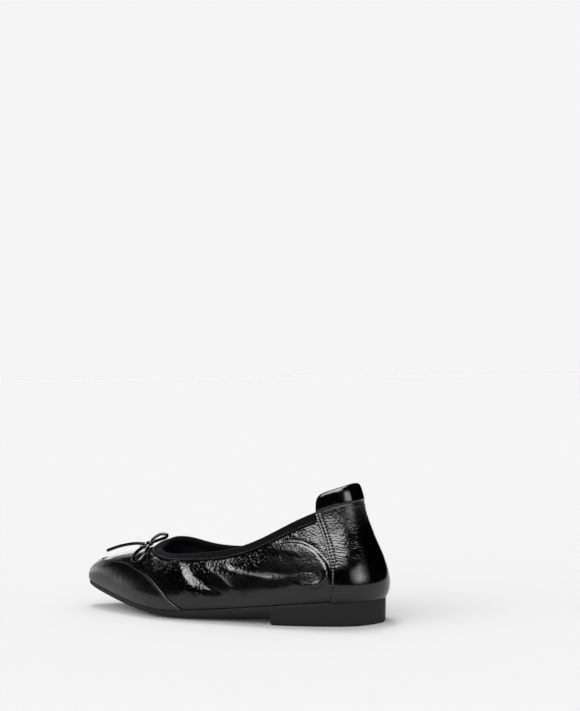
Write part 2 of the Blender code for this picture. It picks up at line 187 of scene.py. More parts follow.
def unit(ways):
    """Directions with length one."""
    return ways / np.linalg.norm(ways, axis=-1, keepdims=True)


def skin_normal(places, climbs):
    """Directions square to the skin, pointing out."""
    places, climbs = np.broadcast_arrays(np.asarray(places, float), np.asarray(climbs, float))
    round_way = skin_point(places + NEAR, climbs) - skin_point(places - NEAR, climbs)
    higher = np.minimum(climbs + NEAR, 1.0)
    lower = np.maximum(climbs - NEAR, 0.0)
    return unit(np.cross(skin_point(places, higher) - skin_point(places, lower), round_way))


def skin(places, climbs, lift=0.0):
    """Points that stand `lift` off the smooth skin."""
    return skin_point(places, climbs) + np.asarray(lift)[..., None] * skin_normal(places, climbs)


def run_along(line):
    """The length along a line of points, at each point."""
    return np.concatenate(([0.0], np.cumsum(np.linalg.norm(np.diff(line, axis=0), axis=1))))


def even_places(start, end, count, climb):
    """Places whose steps along the skin at one climb are equally long."""
    dense = np.linspace(start, end, DENSE_POINTS)
    lengths = run_along(skin_point(dense, climb))
    return np.interp(np.linspace(0.0, lengths[-1], count), lengths, dense)


def to_scene(points):
    """Shoe points in millimetres as scene points in metres: toe to -X, outer side to -Y."""
    points = np.asarray(points, float)
    return np.stack([HEEL_CENTRE - points[..., 0], -points[..., 1], points[..., 2]], -1) * MM


around = run_along(skin_point(np.linspace(0.0, RIB_COUNT, DENSE_POINTS), 0.5))[-1]
print(f"the skin measures {around:.0f} mm round the shoe at half its height")

# %% [markdown]
# ## The camera
#
# The photograph looks at the outer side from a little behind, almost level, with the shoe low in the frame.
# The camera could be pushed about until it looks right. Here its place is an angle and a distance from the
# middle of the heel's floor face, and its aim is a yaw, a pitch and a slight roll, all matched to the
# outline.

# %% Camera
PHOTO_HEIGHT = 711
FOCAL_PIXELS = 1600.0
SENSOR_HEIGHT = 24.0
VIEW_AZIMUTH = 24.0
VIEW_ELEVATION = 9.6
VIEW_DISTANCE = 1.15
AIM_YAW = 25.746
AIM_PITCH = 0.175
AIM_ROLL = math.radians(-0.7)


def sky_way(azimuth, elevation):
    """The direction of a place in the sky, in degrees: azimuth 0 is the outer side, 90 the heel."""
    turn = np.radians(azimuth)
    level = np.cos(np.radians(elevation))
    return np.stack([level * np.sin(turn), -level * np.cos(turn), np.sin(np.radians(elevation))], -1)


camera_data = bpy.data.cameras.new("photo_camera")
camera_data.sensor_fit = "VERTICAL"
camera_data.sensor_height = SENSOR_HEIGHT
camera_data.lens = SENSOR_HEIGHT * FOCAL_PIXELS / PHOTO_HEIGHT
camera_data.clip_start = 0.01
camera = bpy.data.objects.new("photo_camera", camera_data)
bpy.context.scene.collection.objects.link(camera)
bpy.context.scene.camera = camera

eye = VIEW_DISTANCE * Vector(sky_way(VIEW_AZIMUTH, VIEW_ELEVATION))
ahead = -Vector(sky_way(AIM_YAW, AIM_PITCH))
level_right = Vector((math.cos(math.radians(AIM_YAW)), math.sin(math.radians(AIM_YAW)), 0.0))
level_up = level_right.cross(ahead)
right = level_right * math.cos(AIM_ROLL) + level_up * math.sin(AIM_ROLL)
upright = level_up * math.cos(AIM_ROLL) - level_right * math.sin(AIM_ROLL)
turn = Matrix((right, upright, -ahead)).transposed().to_4x4()
camera.matrix_world = Matrix.Translation(eye) @ turn
print("camera at", tuple(round(value, 3) for value in eye), "lens", round(camera_data.lens, 1))

# %% [markdown]
# ## Helpers for materials
#
# Colours are read off as sRGB hex values, as a picture editor shows them, and one function turns them into
# the linear values that the renderer works with. One more function adds a node, sets it up and links it.

# %% Colour and node helpers


def linear(code):
    """An sRGB hex colour as linear red, green, blue and alpha."""
    shares = [int(code[start:start + 2], 16) / 255.0 for start in (1, 3, 5)]
    curved = [share / 12.92 if share <= 0.04045 else ((share + 0.055) / 1.055) ** 2.4 for share in shares]
    return (*curved, 1.0)


def add_node(tree, kind, settings=None, links=None):
    """Add a shader node, set its properties and inputs, and link sockets to its inputs."""
    made = tree.nodes.new(kind)
    for key, value in (settings or {}).items():
        if isinstance(key, int) or key in made.inputs:
            made.inputs[key].default_value = value
        else:
            setattr(made, key, value)
    for key, socket in (links or {}).items():
        tree.links.new(socket, made.inputs[key])
    return made


def new_material(name, colour, roughness):
    """A material with its node tree and its shader."""
    material = bpy.data.materials.new(name)
    material.use_nodes = True
    shader = material.node_tree.nodes["Principled BSDF"]
    shader.inputs["Base Color"].default_value = linear(colour)
    shader.inputs["Roughness"].default_value = roughness
    material.diffuse_color = linear(colour)
    return material, material.node_tree, shader


print("the middle grey of a picture is", round(linear("#808080")[0], 3), "of white in linear light")

# %% [markdown]
# ## Crinkled patent leather
#
# The leather is black, coated with a film of polyurethane and tumbled until the film crinkles. The film
# gives a clear reflection, about four per cent head on, so a white floor shows in it as a dark grey and
# only a bright lamp shows as white. Two things break a lamp's reflection into bright specks: shallow
# wrinkles about two millimetres apart that run round the heel, and pebbles, which are finer on the real
# film and are drawn one and a half millimetres wide here, or they would blur into grey at this picture's
# size. A photograph of leather could be projected, but wrinkles and pebbles made from waves and noise stay
# sharp in any view.
#
# Three values stored on each point of a mesh steer the film: crinkle is the depth of wrinkles and pebbles
# together, grain adds pebbles alone, and satin dulls the gloss where the film is worn. So the cap stays
# smooth while the quarters and the counter are rough.

# %% Patent leather
WRINKLE_PITCH = 1.9 * MM
WRINKLE_DEPTH = 0.085 * MM
WRINKLE_CENTRE = (24.0, -20.0, 30.0)
PEBBLE_SIZE = 1.5 * MM
PEBBLE_SHARE = 1.2
GRAIN_SHARE = 5.0
GLOSS_PATCH = 11.0 * MM
SATIN_ROUGHNESS = 0.28
# the wave node's bands are this wide at a scale of one
WAVE_BAND = 0.314

patent_leather, tree, shader = new_material("crinkled_patent_leather", "#020202", 0.2)
shader.inputs["IOR"].default_value = 1.5
places_in_space = add_node(tree, "ShaderNodeTexCoord").outputs["Object"]
crinkle = add_node(tree, "ShaderNodeAttribute", {"attribute_name": "crinkle"}).outputs["Fac"]
grain = add_node(tree, "ShaderNodeAttribute", {"attribute_name": "grain"}).outputs["Fac"]
satin = add_node(tree, "ShaderNodeAttribute", {"attribute_name": "satin"}).outputs["Fac"]
round_heel = add_node(
    tree, "ShaderNodeVectorMath",
    {"operation": "SUBTRACT", 1: tuple(to_scene(np.array(WRINKLE_CENTRE)))},
    {0: places_in_space},
)
wrinkles = add_node(
    tree, "ShaderNodeTexWave",
    {"wave_type": "RINGS", "rings_direction": "Y", "Scale": WAVE_BAND / WRINKLE_PITCH, "Distortion": 14.0,
     "Detail": 2.0, "Detail Scale": 0.7, "Detail Roughness": 0.55},
    {"Vector": round_heel.outputs["Vector"]},
)
pebbles = add_node(
    tree, "ShaderNodeTexNoise",
    {"Scale": 1.0 / PEBBLE_SIZE, "Detail": 0.0, "Distortion": 0.6},
    {"Vector": places_in_space},
)
patches = add_node(
    tree, "ShaderNodeTexNoise",
    {"Scale": 1.0 / GLOSS_PATCH, "Detail": 2.0},
    {"Vector": places_in_space},
)
patchy = add_node(
    tree, "ShaderNodeMapRange",
    {"From Min": 0.38, "From Max": 0.62, "To Min": 0.15, "To Max": 1.0},
    {"Value": patches.outputs["Fac"]},
)
waves = add_node(
    tree, "ShaderNodeMath",
    {"operation": "MULTIPLY"},
    {0: wrinkles.outputs["Fac"], 1: patchy.outputs["Result"]},
)
mixed = add_node(
    tree, "ShaderNodeMath",
    {"operation": "MULTIPLY_ADD", 1: PEBBLE_SHARE},
    {0: pebbles.outputs["Fac"], 2: waves.outputs[0]},
)
crinkled = add_node(tree, "ShaderNodeMath", {"operation": "MULTIPLY"}, {0: mixed.outputs[0], 1: crinkle})
grained = add_node(tree, "ShaderNodeMath", {"operation": "MULTIPLY"}, {0: pebbles.outputs["Fac"], 1: grain})
depth = add_node(
    tree, "ShaderNodeMath",
    {"operation": "MULTIPLY_ADD", 1: GRAIN_SHARE},
    {0: grained.outputs[0], 2: crinkled.outputs[0]},
)
bump = add_node(
    tree, "ShaderNodeBump",
    {"Strength": 1.0, "Distance": WRINKLE_DEPTH},
    {"Height": depth.outputs[0]},
)
worn = add_node(
    tree, "ShaderNodeMapRange",
    {"From Min": 0.3, "From Max": 0.7, "To Min": 0.07, "To Max": 0.11},
    {"Value": patches.outputs["Fac"]},
)
dulled = add_node(
    tree, "ShaderNodeMath",
    {"operation": "MULTIPLY_ADD", 1: SATIN_ROUGHNESS},
    {0: satin, 2: worn.outputs["Result"]},
)
tree.links.new(dulled.outputs[0], shader.inputs["Roughness"])
tree.links.new(bump.outputs["Normal"], shader.inputs["Normal"])
print("made", patent_leather.name)

# %% [markdown]
# ## Moulded rubber
#
# The sole is one moulding of black rubber. Its mould was blasted, so it has a fine grain that spreads every
# reflection into a soft dark grey. A plain rough shader would look dead beside the film, so one noise gives
# both a shallow bump and an uneven gloss. The real grain is about a fifth of a millimetre, drawn coarser to
# show.

# %% Moulded rubber
GRAIN_SIZE = 0.5 * MM

moulded_rubber, tree, shader = new_material("moulded_rubber", "#090909", 0.62)
shader.inputs["Specular IOR Level"].default_value = 0.3
blasting = add_node(
    tree, "ShaderNodeTexNoise",
    {"Scale": 1.0 / GRAIN_SIZE, "Detail": 2.0},
    {"Vector": add_node(tree, "ShaderNodeTexCoord").outputs["Object"]},
)
bump = add_node(
    tree, "ShaderNodeBump", {"Strength": 0.35, "Distance": 0.1 * MM}, {"Height": blasting.outputs["Fac"]},
)
bloom = add_node(
    tree, "ShaderNodeMapRange",
    {"From Min": 0.35, "From Max": 0.65, "To Min": 0.56, "To Max": 0.7},
    {"Value": blasting.outputs["Fac"]},
)
tree.links.new(bloom.outputs["Result"], shader.inputs["Roughness"])
tree.links.new(bump.outputs["Normal"], shader.inputs["Normal"])

print("made", moulded_rubber.name)

# %% [markdown]
# ## Woven elastic tape
#
# The tape is woven: cords of rubber wrapped in yarn run along it and show as ribs about a third of a
# millimetre apart, too fine for this picture, so they are drawn twice as wide. It takes nearly all light
# and shows as a dull black. The ribs follow a map of the strip in millimetres, because a pattern in space
# would cross the tape's bends at a slant.

# %% Woven elastic tape
RIB_PITCH = 0.7 * MM

elastic_tape, tree, shader = new_material("woven_elastic_tape", "#0A0A0B", 0.85)
shader.inputs["Specular IOR Level"].default_value = 0.025
shader.inputs["Sheen Weight"].default_value = 0.01
shader.inputs["Sheen Roughness"].default_value = 0.4
strip = add_node(tree, "ShaderNodeUVMap", {"uv_map": "strip"}).outputs["UV"]
ribs = add_node(
    tree, "ShaderNodeTexWave",
    {"bands_direction": "Y", "Scale": WAVE_BAND / (RIB_PITCH / MM), "Distortion": 0.4, "Detail": 1.0},
    {"Vector": strip},
)
bump = add_node(
    tree, "ShaderNodeBump", {"Strength": 0.6, "Distance": 0.12 * MM}, {"Height": ribs.outputs["Fac"]},
)
shade = add_node(
    tree, "ShaderNodeMix", {"data_type": "RGBA", "A": linear("#070708"), "B": linear("#0C0C0D")},
    {"Factor": ribs.outputs["Fac"]},
)
tree.links.new(shade.outputs["Result"], shader.inputs["Base Color"])
tree.links.new(bump.outputs["Normal"], shader.inputs["Normal"])

print("made", elastic_tape.name)

# %% [markdown]
# ## Textile lining and polyester thread
#
# The lining and the sock are a plain textile that stays dark inside the shoe. The thread is spun polyester,
# and its dull shine lifts it a little off the leather. Woven or twisted yarns could be drawn one by one,
# but at this size a noise as fine as the yarn gives the same look.

# %% Textile lining and polyester thread
YARN_SIZE = 0.6 * MM
TWIST_SIZE = 0.2 * MM

textile_lining, tree, shader = new_material("textile_lining", "#151515", 0.8)
weave = add_node(
    tree, "ShaderNodeTexNoise",
    {"Scale": 1.0 / YARN_SIZE, "Detail": 1.0},
    {"Vector": add_node(tree, "ShaderNodeTexCoord").outputs["Object"]},
)
bump = add_node(
    tree, "ShaderNodeBump", {"Strength": 0.5, "Distance": 0.12 * MM}, {"Height": weave.outputs["Fac"]},
)
shade = add_node(
    tree, "ShaderNodeMix", {"data_type": "RGBA", "A": linear("#0F0F0F"), "B": linear("#1C1C1C")},
    {"Factor": weave.outputs["Fac"]},
)
tree.links.new(shade.outputs["Result"], shader.inputs["Base Color"])
tree.links.new(bump.outputs["Normal"], shader.inputs["Normal"])

sewing_thread, tree, shader = new_material("polyester_thread", "#0A0A0A", 0.5)
twist = add_node(
    tree, "ShaderNodeTexNoise",
    {"Scale": 1.0 / TWIST_SIZE, "Detail": 0.0},
    {"Vector": add_node(tree, "ShaderNodeTexCoord").outputs["Object"]},
)
bump = add_node(
    tree, "ShaderNodeBump", {"Strength": 0.4, "Distance": 0.05 * MM}, {"Height": twist.outputs["Fac"]},
)
tree.links.new(bump.outputs["Normal"], shader.inputs["Normal"])
print("made", textile_lining.name, "and", sewing_thread.name)

# %% [markdown]
# ## Helpers for meshes
#
# Nearly every piece is a grid of points: rows round the shoe, columns up it. A sheet of leather is two such
# grids, its outer and its inner face, joined along their borders into one closed body. A solid such as the
# sole is a row of closed sections with both ends capped.

# %% Mesh helpers


def add_piece(name, points, faces, materials, replaced=()):
    """A smooth-shaded mesh piece that rides on the shoe and stands for the named solids."""
    mesh = bpy.data.meshes.new(name)
    mesh.from_pydata(to_scene(points).tolist(), [], faces)
    draft = bmesh.new()
    draft.from_mesh(mesh)
    bmesh.ops.recalc_face_normals(draft, faces=draft.faces)
    draft.to_mesh(mesh)
    draft.free()
    for material in materials:
        mesh.materials.append(material)
    mesh.shade_smooth()
    piece = bpy.data.objects.new(name, mesh)
    bpy.context.scene.collection.objects.link(piece)
    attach(piece, "root")
    if replaced:
        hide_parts(*replaced)
    print(f"{name}: {len(mesh.vertices)} points, {len(mesh.polygons)} faces")
    return piece


def grid_faces(rows, columns, first=0, flip=False):
    """The four-sided faces of a grid of points that is stored row by row."""
    corner = np.arange(rows - 1)[:, None] * columns + np.arange(columns - 1)[None, :] + first
    corner = corner.ravel()
    faces = np.stack([corner, corner + 1, corner + columns + 1, corner + columns], -1)
    return (faces[:, ::-1] if flip else faces).tolist()


def sheet_faces(rows, columns):
    """The faces of a closed sheet: an outer grid, an inner grid and the four borders between them."""
    inner = rows * columns
    faces = grid_faces(rows, columns) + grid_faces(rows, columns, inner, flip=True)
    last = (rows - 1) * columns
    for index in range(columns - 1):
        faces.append([index + 1, index, inner + index, inner + index + 1])
        faces.append([last + index, last + index + 1, inner + last + index + 1, inner + last + index])
    for row in range(rows - 1):
        here = row * columns
        there = here + columns
        faces.append([here, there, inner + there, inner + here])
        end = columns - 1
        faces.append([there + end, here + end, inner + here + end, inner + there + end])
    return faces


def add_sheet(name, outer, inner, material, replaced=()):
    """A closed sheet between two grids of points."""
    rows, columns = outer.shape[:2]
    points = np.concatenate([outer.reshape(-1, 3), inner.reshape(-1, 3)])
    return add_piece(name, points, sheet_faces(rows, columns), [material], replaced)


def loft_faces(count, size, first=0):
    """The faces of a solid through closed sections stored one after another, capped at both ends."""
    faces = []
    for row in range(count - 1):
        here = first + row * size
        there = here + size
        for index in range(size):
            after = (index + 1) % size
            faces.append([here + index, here + after, there + after, there + index])
    last = first + (count - 1) * size
    faces.append(list(range(first, first + size))[::-1])
    faces.append(list(range(last, last + size)))
    return faces


def add_loft(name, sections, material, replaced=()):
    """A closed solid through closed sections with the same number of points."""
    faces = loft_faces(*sections.shape[:2])
    return add_piece(name, sections.reshape(-1, 3), faces, [material], replaced)


def set_values(piece, name, values):
    """Store one number on each point of a piece, for its material to read."""
    attribute = piece.data.attributes.new(name, "FLOAT", "POINT")
    attribute.data.foreach_set("value", np.asarray(values, np.float32).ravel())


def ease(low, high, values):
    """A smooth step from 0 at low to 1 at high."""
    share = np.clip((np.asarray(values, float) - low) / (high - low), 0.0, 1.0)
    return share * share * (3.0 - 2.0 * share)


def smooth_path(points, count):
    """Evenly counted points on a smooth curve through the given points."""
    points = np.asarray(points, float)
    marks = run_along(points)
    slopes = np.gradient(points, marks, axis=0)
    spots = np.linspace(0.0, marks[-1], count)
    index = np.clip(np.searchsorted(marks, spots) - 1, 0, len(points) - 2)
    width = (marks[index + 1] - marks[index])[:, None]
    part = (spots - marks[index])[:, None] / width
    start = (1.0 + 2.0 * part) * (1.0 - part) ** 2 * points[index]
    end = part**2 * (3.0 - 2.0 * part) * points[index + 1]
    leave = part * (1.0 - part) ** 2 * width * slopes[index]
    arrive = part**2 * (part - 1.0) * width * slopes[index + 1]
    return start + end + leave + arrive


print("a closed sheet of 3 by 4 points has", len(sheet_faces(3, 4)), "faces")

# %% [markdown]
# ## The bow
#
# The bow is a narrow lace of the same patent leather, folded and sewn so that it is nearly round. Two loops
# and two ends leave a small knot at the throat; the outer loop lies on the vamp, the inner one stands up
# over the tape, and one end springs forward in the air because the lacquered lace is stiff. A curve with a
# bevel would do, but a lace is wider than it is thick, so each stretch is a loft of oval sections along its
# route.

# %% Laces of the bow
LACE_WIDTH = 2.7
LACE_THICKNESS = 2.4
LACE_SIDES = 14
LACE_STEP = 0.8
LACE_UPRIGHT = np.array([0.15, 0.25, 1.0])
KNOT = np.array([188.0, -1.0, 48.0])
BOW_ROUTES = {
    "bow_loop_lateral": [
        (190.0, 2.7, 46.4), (190.9, 6.5, 45.1), (191.2, 12.3, 43.3), (190.9, 17.2, 41.0),
        (189.3, 20.8, 38.5), (186.3, 22.2, 37.6), (183.5, 21.6, 38.5), (182.3, 18.5, 41.0),
        (182.7, 13.5, 43.8), (184.6, 8.0, 45.9), (186.8, 2.8, 46.9),
    ],
    "bow_loop_medial": [
        (190.0, -4.7, 46.8), (191.2, -10.0, 49.2), (190.4, -15.5, 51.9), (188.0, -20.0, 53.2),
        (185.0, -21.2, 52.6), (183.4, -18.8, 51.4), (184.2, -13.5, 50.4), (185.6, -8.5, 49.6),
        (186.9, -4.4, 48.8),
    ],
    "bow_end_lateral": [
        (191.5, 0.7, 48.0), (198.0, 1.2, 48.0), (206.0, 1.6, 46.9), (214.5, 2.0, 44.8),
        (223.2, 2.5, 41.7),
    ],
    "bow_end_medial": [
        (191.5, -2.4, 46.4), (196.0, -7.3, 46.2), (201.0, -13.0, 45.1), (205.5, -18.0, 42.9),
        (208.5, -21.4, 39.6), (211.0, -24.4, 35.6),
    ],
}


def lace_sections(path):
    """Oval sections square to a path, their wide side level."""
    tangents = unit(np.gradient(path, axis=0))
    sideways = unit(np.cross(tangents, LACE_UPRIGHT))
    upward = np.cross(sideways, tangents)
    turns = np.linspace(0.0, 2.0 * math.pi, LACE_SIDES, endpoint=False)
    wide = np.cos(turns)[None, :, None] * sideways[:, None, :] * LACE_WIDTH / 2.0
    thick = np.sin(turns)[None, :, None] * upward[:, None, :] * LACE_THICKNESS / 2.0
    return path[:, None, :] + wide + thick


bow_pieces = {}
bow_paths = {}
for name, route in BOW_ROUTES.items():
    path = smooth_path(route, int(run_along(np.array(route))[-1] / LACE_STEP))
    bow_paths[name] = path
    bow_pieces[name] = add_loft(f"{name}_lace", lace_sections(path), patent_leather, [name])

# %% [markdown]
# The knot is the lace wrapped once and a half round the crossing. It is a small ball with a spiral groove,
# a little flattened, because at its size the eye sees only the two turns and the groove between them.

# %% Knot of the bow
KNOT_RADIUS = 2.9
KNOT_FLATNESS = 0.85
KNOT_GROOVE = 0.16
KNOT_GROOVE_POWER = 4
KNOT_TURNS = 1.5
KNOT_SWAY = 0.5
KNOT_START = 0.6
KNOT_RINGS = 28
KNOT_SIDES = 40
KNOT_POLE = 0.06

spins = np.linspace(0.0, 2.0 * math.pi, KNOT_SIDES, endpoint=False)
knot_rings = []
for lean in np.linspace(KNOT_POLE, math.pi - KNOT_POLE, KNOT_RINGS):
    spiral = KNOT_TURNS * lean + KNOT_SWAY * np.sin(spins) + KNOT_START
    radius = KNOT_RADIUS * (1.0 - KNOT_GROOVE * np.abs(np.cos(spiral)) ** KNOT_GROOVE_POWER)
    knot_rings.append(KNOT + np.stack([
        radius * math.cos(lean),
        radius * math.sin(lean) * np.cos(spins),
        KNOT_FLATNESS * radius * math.sin(lean) * np.sin(spins),
    ], -1))
bow_knot = add_loft("bow_knot_wrap", np.array(knot_rings), patent_leather, ["bow_knot"])

for name, piece in bow_pieces.items():
    path = to_scene(bow_paths[name])

# %% [markdown]
# ## Where the seams run
#
# The toe cap's seam and the counter's side seams are short tables with a smooth curve through them, read
# from the photograph onto the ribs. The edge of the tape lies a fixed width below the opening.

# %% Seam lines
CAP_SEAM = np.array([
    (0.00, 0.41), (0.70, 0.47), (1.20, 0.59), (1.70, 0.64), (2.25, 0.62),
    (2.75, 0.59), (3.10, 0.53), (3.65, 0.34), (3.95, 0.16), (4.12, 0.06), (4.19, 0.012),
])
COUNTER_SEAM = np.array([(0.00, 1.88), (0.25, 1.82), (0.50, 1.73), (0.75, 1.81), (1.00, 2.05)])
TAPE_CLIMB = 0.95
SEAM_STEPS = 200
CAP_CURVE = smooth_path(CAP_SEAM, SEAM_STEPS)
COUNTER_CURVE = smooth_path(COUNTER_SEAM, SEAM_STEPS)


def cap_climb(places):
    """How far up its rib the toe cap reaches, zero where there is no cap."""
    off = np.abs(np.asarray(places, float) - TOE_TIP)
    return np.where(off <= CAP_SEAM[-1, 0], np.interp(off, CAP_CURVE[:, 0], CAP_CURVE[:, 1]), 0.0)


def counter_place(climbs):
    """How many ribs from the heel back the counter's side seam stands."""
    return np.interp(climbs, COUNTER_CURVE[:, 0], COUNTER_CURVE[:, 1])


def climb_rate(places, climbs):
    """Millimetres of skin for a whole unit of climb."""
    lower = np.clip(np.asarray(climbs) - NEAR, 0.0, 1.0 - 2.0 * NEAR)
    rise = skin_point(places, lower + 2.0 * NEAR) - skin_point(places, lower)
    return np.linalg.norm(rise, axis=-1) / (2.0 * NEAR)


def place_rate(places, climbs):
    """Millimetres of skin for a whole rib."""
    ahead_of = skin_point(np.asarray(places) + NEAR, climbs)
    behind_of = skin_point(np.asarray(places) - NEAR, climbs)
    return np.linalg.norm(ahead_of - behind_of, axis=-1) / (2.0 * NEAR)


def tape_climb(places):
    """The climb of the tape's lower edge."""
    return 1.0 - TAPE_WIDTH / climb_rate(places, np.full(np.shape(places), TAPE_CLIMB))


print("the tape covers the last", np.round(1.0 - tape_climb(np.array([3.0, 6.0, 9.0])), 3), "of three ribs")

# %% [markdown]
# ## Creases of the quarters
#
# The elastic pulls the opening together, so the slack leather of the quarters puffs out and folds. The
# folds are the shoe's character, so they are given one by one. Each row is a soft ridge or trough along a
# line of points (along, height) in millimetres, running from toe to heel or from top to bottom. Its rise is
# how far it stands out, its crest how round it is, and it falls away within one width on its upper (or
# heel) side and another on its lower (or toe) side. A cloth simulation would fold the leather too, but not
# in these places.

# %% Fold table
Fold = namedtuple("Fold", "name rise crest upper lower path")
FOLDS = [
    Fold("leaf_ridge", 1.2, 0.9, 2.2, 8.0,
         [(154.0, 48.0), (146.5, 40.5), (142.0, 36.0), (136.6, 29.9), (129.0, 24.8), (124.5, 22.4)]),
    Fold("leaf_trough", -1.1, 1.0, 5.0, 2.8,
         [(149.0, 51.6), (142.4, 44.6), (138.8, 40.4), (133.0, 34.8), (125.0, 29.2), (118.5, 26.0),
          (111.0, 23.0), (101.0, 20.0)]),
    Fold("diagonal_ridge", 0.7, 0.4, 2.5, 6.0,
         [(127.0, 42.5), (120.3, 37.7), (113.9, 33.9), (108.5, 31.9), (100.4, 26.5), (90.0, 22.5)]),
    Fold("long_trough", -0.7, 1.0, 3.0, 2.2,
         [(108.0, 41.0), (95.8, 38.4), (86.2, 37.3), (76.5, 36.9), (66.0, 37.0), (52.0, 36.4)]),
    Fold("long_ridge", 0.75, 0.3, 1.2, 4.5,
         [(110.0, 39.4), (100.0, 36.4), (93.3, 35.4), (85.3, 34.4), (75.8, 33.6), (66.0, 33.2)]),
    Fold("under_hollow", -0.5, 3.0, 5.0, 5.0,
         [(112.0, 21.0), (98.0, 22.0), (85.0, 22.0), (72.0, 22.0), (58.0, 22.0), (44.0, 22.0), (28.0, 22.0)]),
    Fold("puff_valley", -0.4, 0.5, 1.2, 1.0,
         [(72.0, 56.0), (65.0, 57.2), (55.0, 58.8), (46.4, 57.6), (36.8, 53.0), (31.0, 48.0), (27.0, 43.0)]),
    Fold("puff_roll", 0.5, 1.5, 4.0, 1.8,
         [(80.0, 50.5), (72.0, 51.8), (63.0, 51.6), (53.0, 50.6), (46.0, 48.6)]),
    Fold("puff_lip", 0.85, 0.3, 1.5, 2.5,
         [(50.0, 29.2), (43.0, 29.0), (36.6, 29.4), (31.4, 31.5), (28.8, 36.0), (29.1, 41.0), (31.2, 45.0)]),
]
INNER_SHIFT = 7.0
INNER_LIFT = -2.0
INNER_SHARE = 0.85
FOLD_TIPS = (0.2, 0.78)
FOLD_STEPS = 40
FOLD_REACH = 4.0


def path_distance(spots, path):
    """How far spots lie from a path, where along it (0 to 1), and on which side (positive is above)."""
    nearest = np.full(len(spots), 1.0e9)
    travel = np.zeros(len(spots))
    side = np.zeros(len(spots))
    runs = np.diff(path, axis=0)
    for index, run in enumerate(runs):
        share = np.clip((spots - path[index]) @ run / (run @ run), 0.0, 1.0)
        gap = spots - path[index] - share[:, None] * run
        distance = np.linalg.norm(gap, axis=1)
        closer = distance < nearest
        nearest[closer] = distance[closer]
        travel[closer] = (index + share[closer]) / len(runs)
        side[closer] = (run[1] * gap[:, 0] - run[0] * gap[:, 1])[closer]
    return nearest, travel, np.sign(side)


def fold_relief(along, height, fold):
    """How far one fold moves the points of a side out."""
    path = smooth_path(fold.path, FOLD_STEPS)
    reach = FOLD_REACH * max(fold.upper, fold.lower)
    low = path.min(0) - reach
    high = path.max(0) + reach
    near = (along > low[0]) & (along < high[0]) & (height > low[1]) & (height < high[1])
    distance, travel, side = path_distance(np.stack([along[near], height[near]], -1), path)
    width = np.where(side > 0.0, fold.upper, fold.lower)
    fall_off = np.exp(-(np.sqrt(distance**2 + fold.crest**2) - fold.crest) / width)
    tips = ease(0.0, FOLD_TIPS[0], travel) * ease(1.0, FOLD_TIPS[1], travel)
    relief = np.zeros_like(along)
    relief[near] = fold.rise * fall_off * tips
    return relief


print("folds placed by hand:", [fold.name for fold in FOLDS])

# %% [markdown]
# The large puff in front of the counter is a pillow of leather. It swells gently from the waist and ends
# beside the seam in a steep rolled rim, which is why the picture shows a bright line there, and its face is
# dished behind the rim. Short puckers stand below the stitched tape, where the elastic gathers the leather,
# above a soft roll. A faint crumple keeps the rest alive. All of it fades out where another piece holds the
# leather.

# %% Puff, puckers and crumple
PUFF_EDGE = [
    (100.0, 43.0), (87.0, 49.5), (77.1, 52.9), (65.4, 55.9), (55.0, 57.4), (47.0, 56.4), (37.7, 52.2),
    (32.0, 47.5), (29.0, 44.5), (26.8, 40.1), (26.5, 35.6), (28.5, 30.3), (33.0, 27.4), (42.0, 26.8),
    (58.0, 27.6), (76.0, 28.0), (100.0, 28.0),
]
PUFF_RISE = 2.3
PUFF_ROUND = (2.3, 4.2)
PUFF_BLUNT = (0.66, 0.86)
PUFF_STEPS = 120
RIM_POINTS = 13
RIM_STEPS = 80
PUFF_REACH = 21.0
PUFF_START = (0.02, 0.42)
ROLL_CLIMB = 0.9
ROLL_RISE = 0.7
ROLL_START = (-2.5, 2.5)
ROLL_END = (15.0, 2.0)
ROLL_TOE = (2.0, 4.0)
ROLL_HEEL = (6.4, 5.4)
PUCKER_RISE = 0.13
PUCKER_PITCH = 2.7
PUCKER_REACH = 7.0
PUCKER_REST = 0.35
PUCKER_DRIFT = 2.8
DRIFT_LENGTH = 5.3
UNEVEN_LENGTH = 4.1
CRUMPLE_RISE = 0.16
CRUMPLE_SIZE = 7.0
FREE_OF_COUNTER = (0.0, 0.07)
FREE_OF_CAP = (0.0, 0.2)
FREE_OF_VAMP = (1.2, 3.2)
FREE_OF_SOLE = (0.0, 0.2)
FREE_OF_TAPE = (0.03, 0.0)


def puff_place(along, height):
    """How far in from the puff's outline points lie, negative outside it."""
    spots = np.stack([along.ravel(), height.ravel()], -1)
    distance, _, side = path_distance(spots, smooth_path(PUFF_EDGE, PUFF_STEPS))
    return (-side * distance).reshape(along.shape)


def puff_relief(along, height):
    """The pillow before the counter: steep at its rim, then dished towards its middle."""
    spots = np.stack([along.ravel(), height.ravel()], -1)
    distance, travel, _ = path_distance(spots, smooth_path(PUFF_EDGE[:RIM_POINTS], RIM_STEPS))
    blunt = ease(*PUFF_BLUNT, travel).reshape(along.shape)
    width = PUFF_ROUND[0] + (PUFF_ROUND[1] - PUFF_ROUND[0]) * blunt
    bend = np.clip(1.0 - puff_place(along, height) / width, 0.0, 1.0)
    dish = np.clip(1.0 - distance / PUFF_REACH, 0.0, 1.0) * ease(*PUFF_START, travel)
    return PUFF_RISE * np.sqrt(1.0 - bend**2) * dish.reshape(along.shape)


def crumple(points):
    """Faint uneven swells, from smooth noise in space."""
    flat = points.reshape(-1, 3) / CRUMPLE_SIZE
    values = [noise.noise(Vector(spot)) for spot in flat]
    return np.array(values).reshape(points.shape[:2])


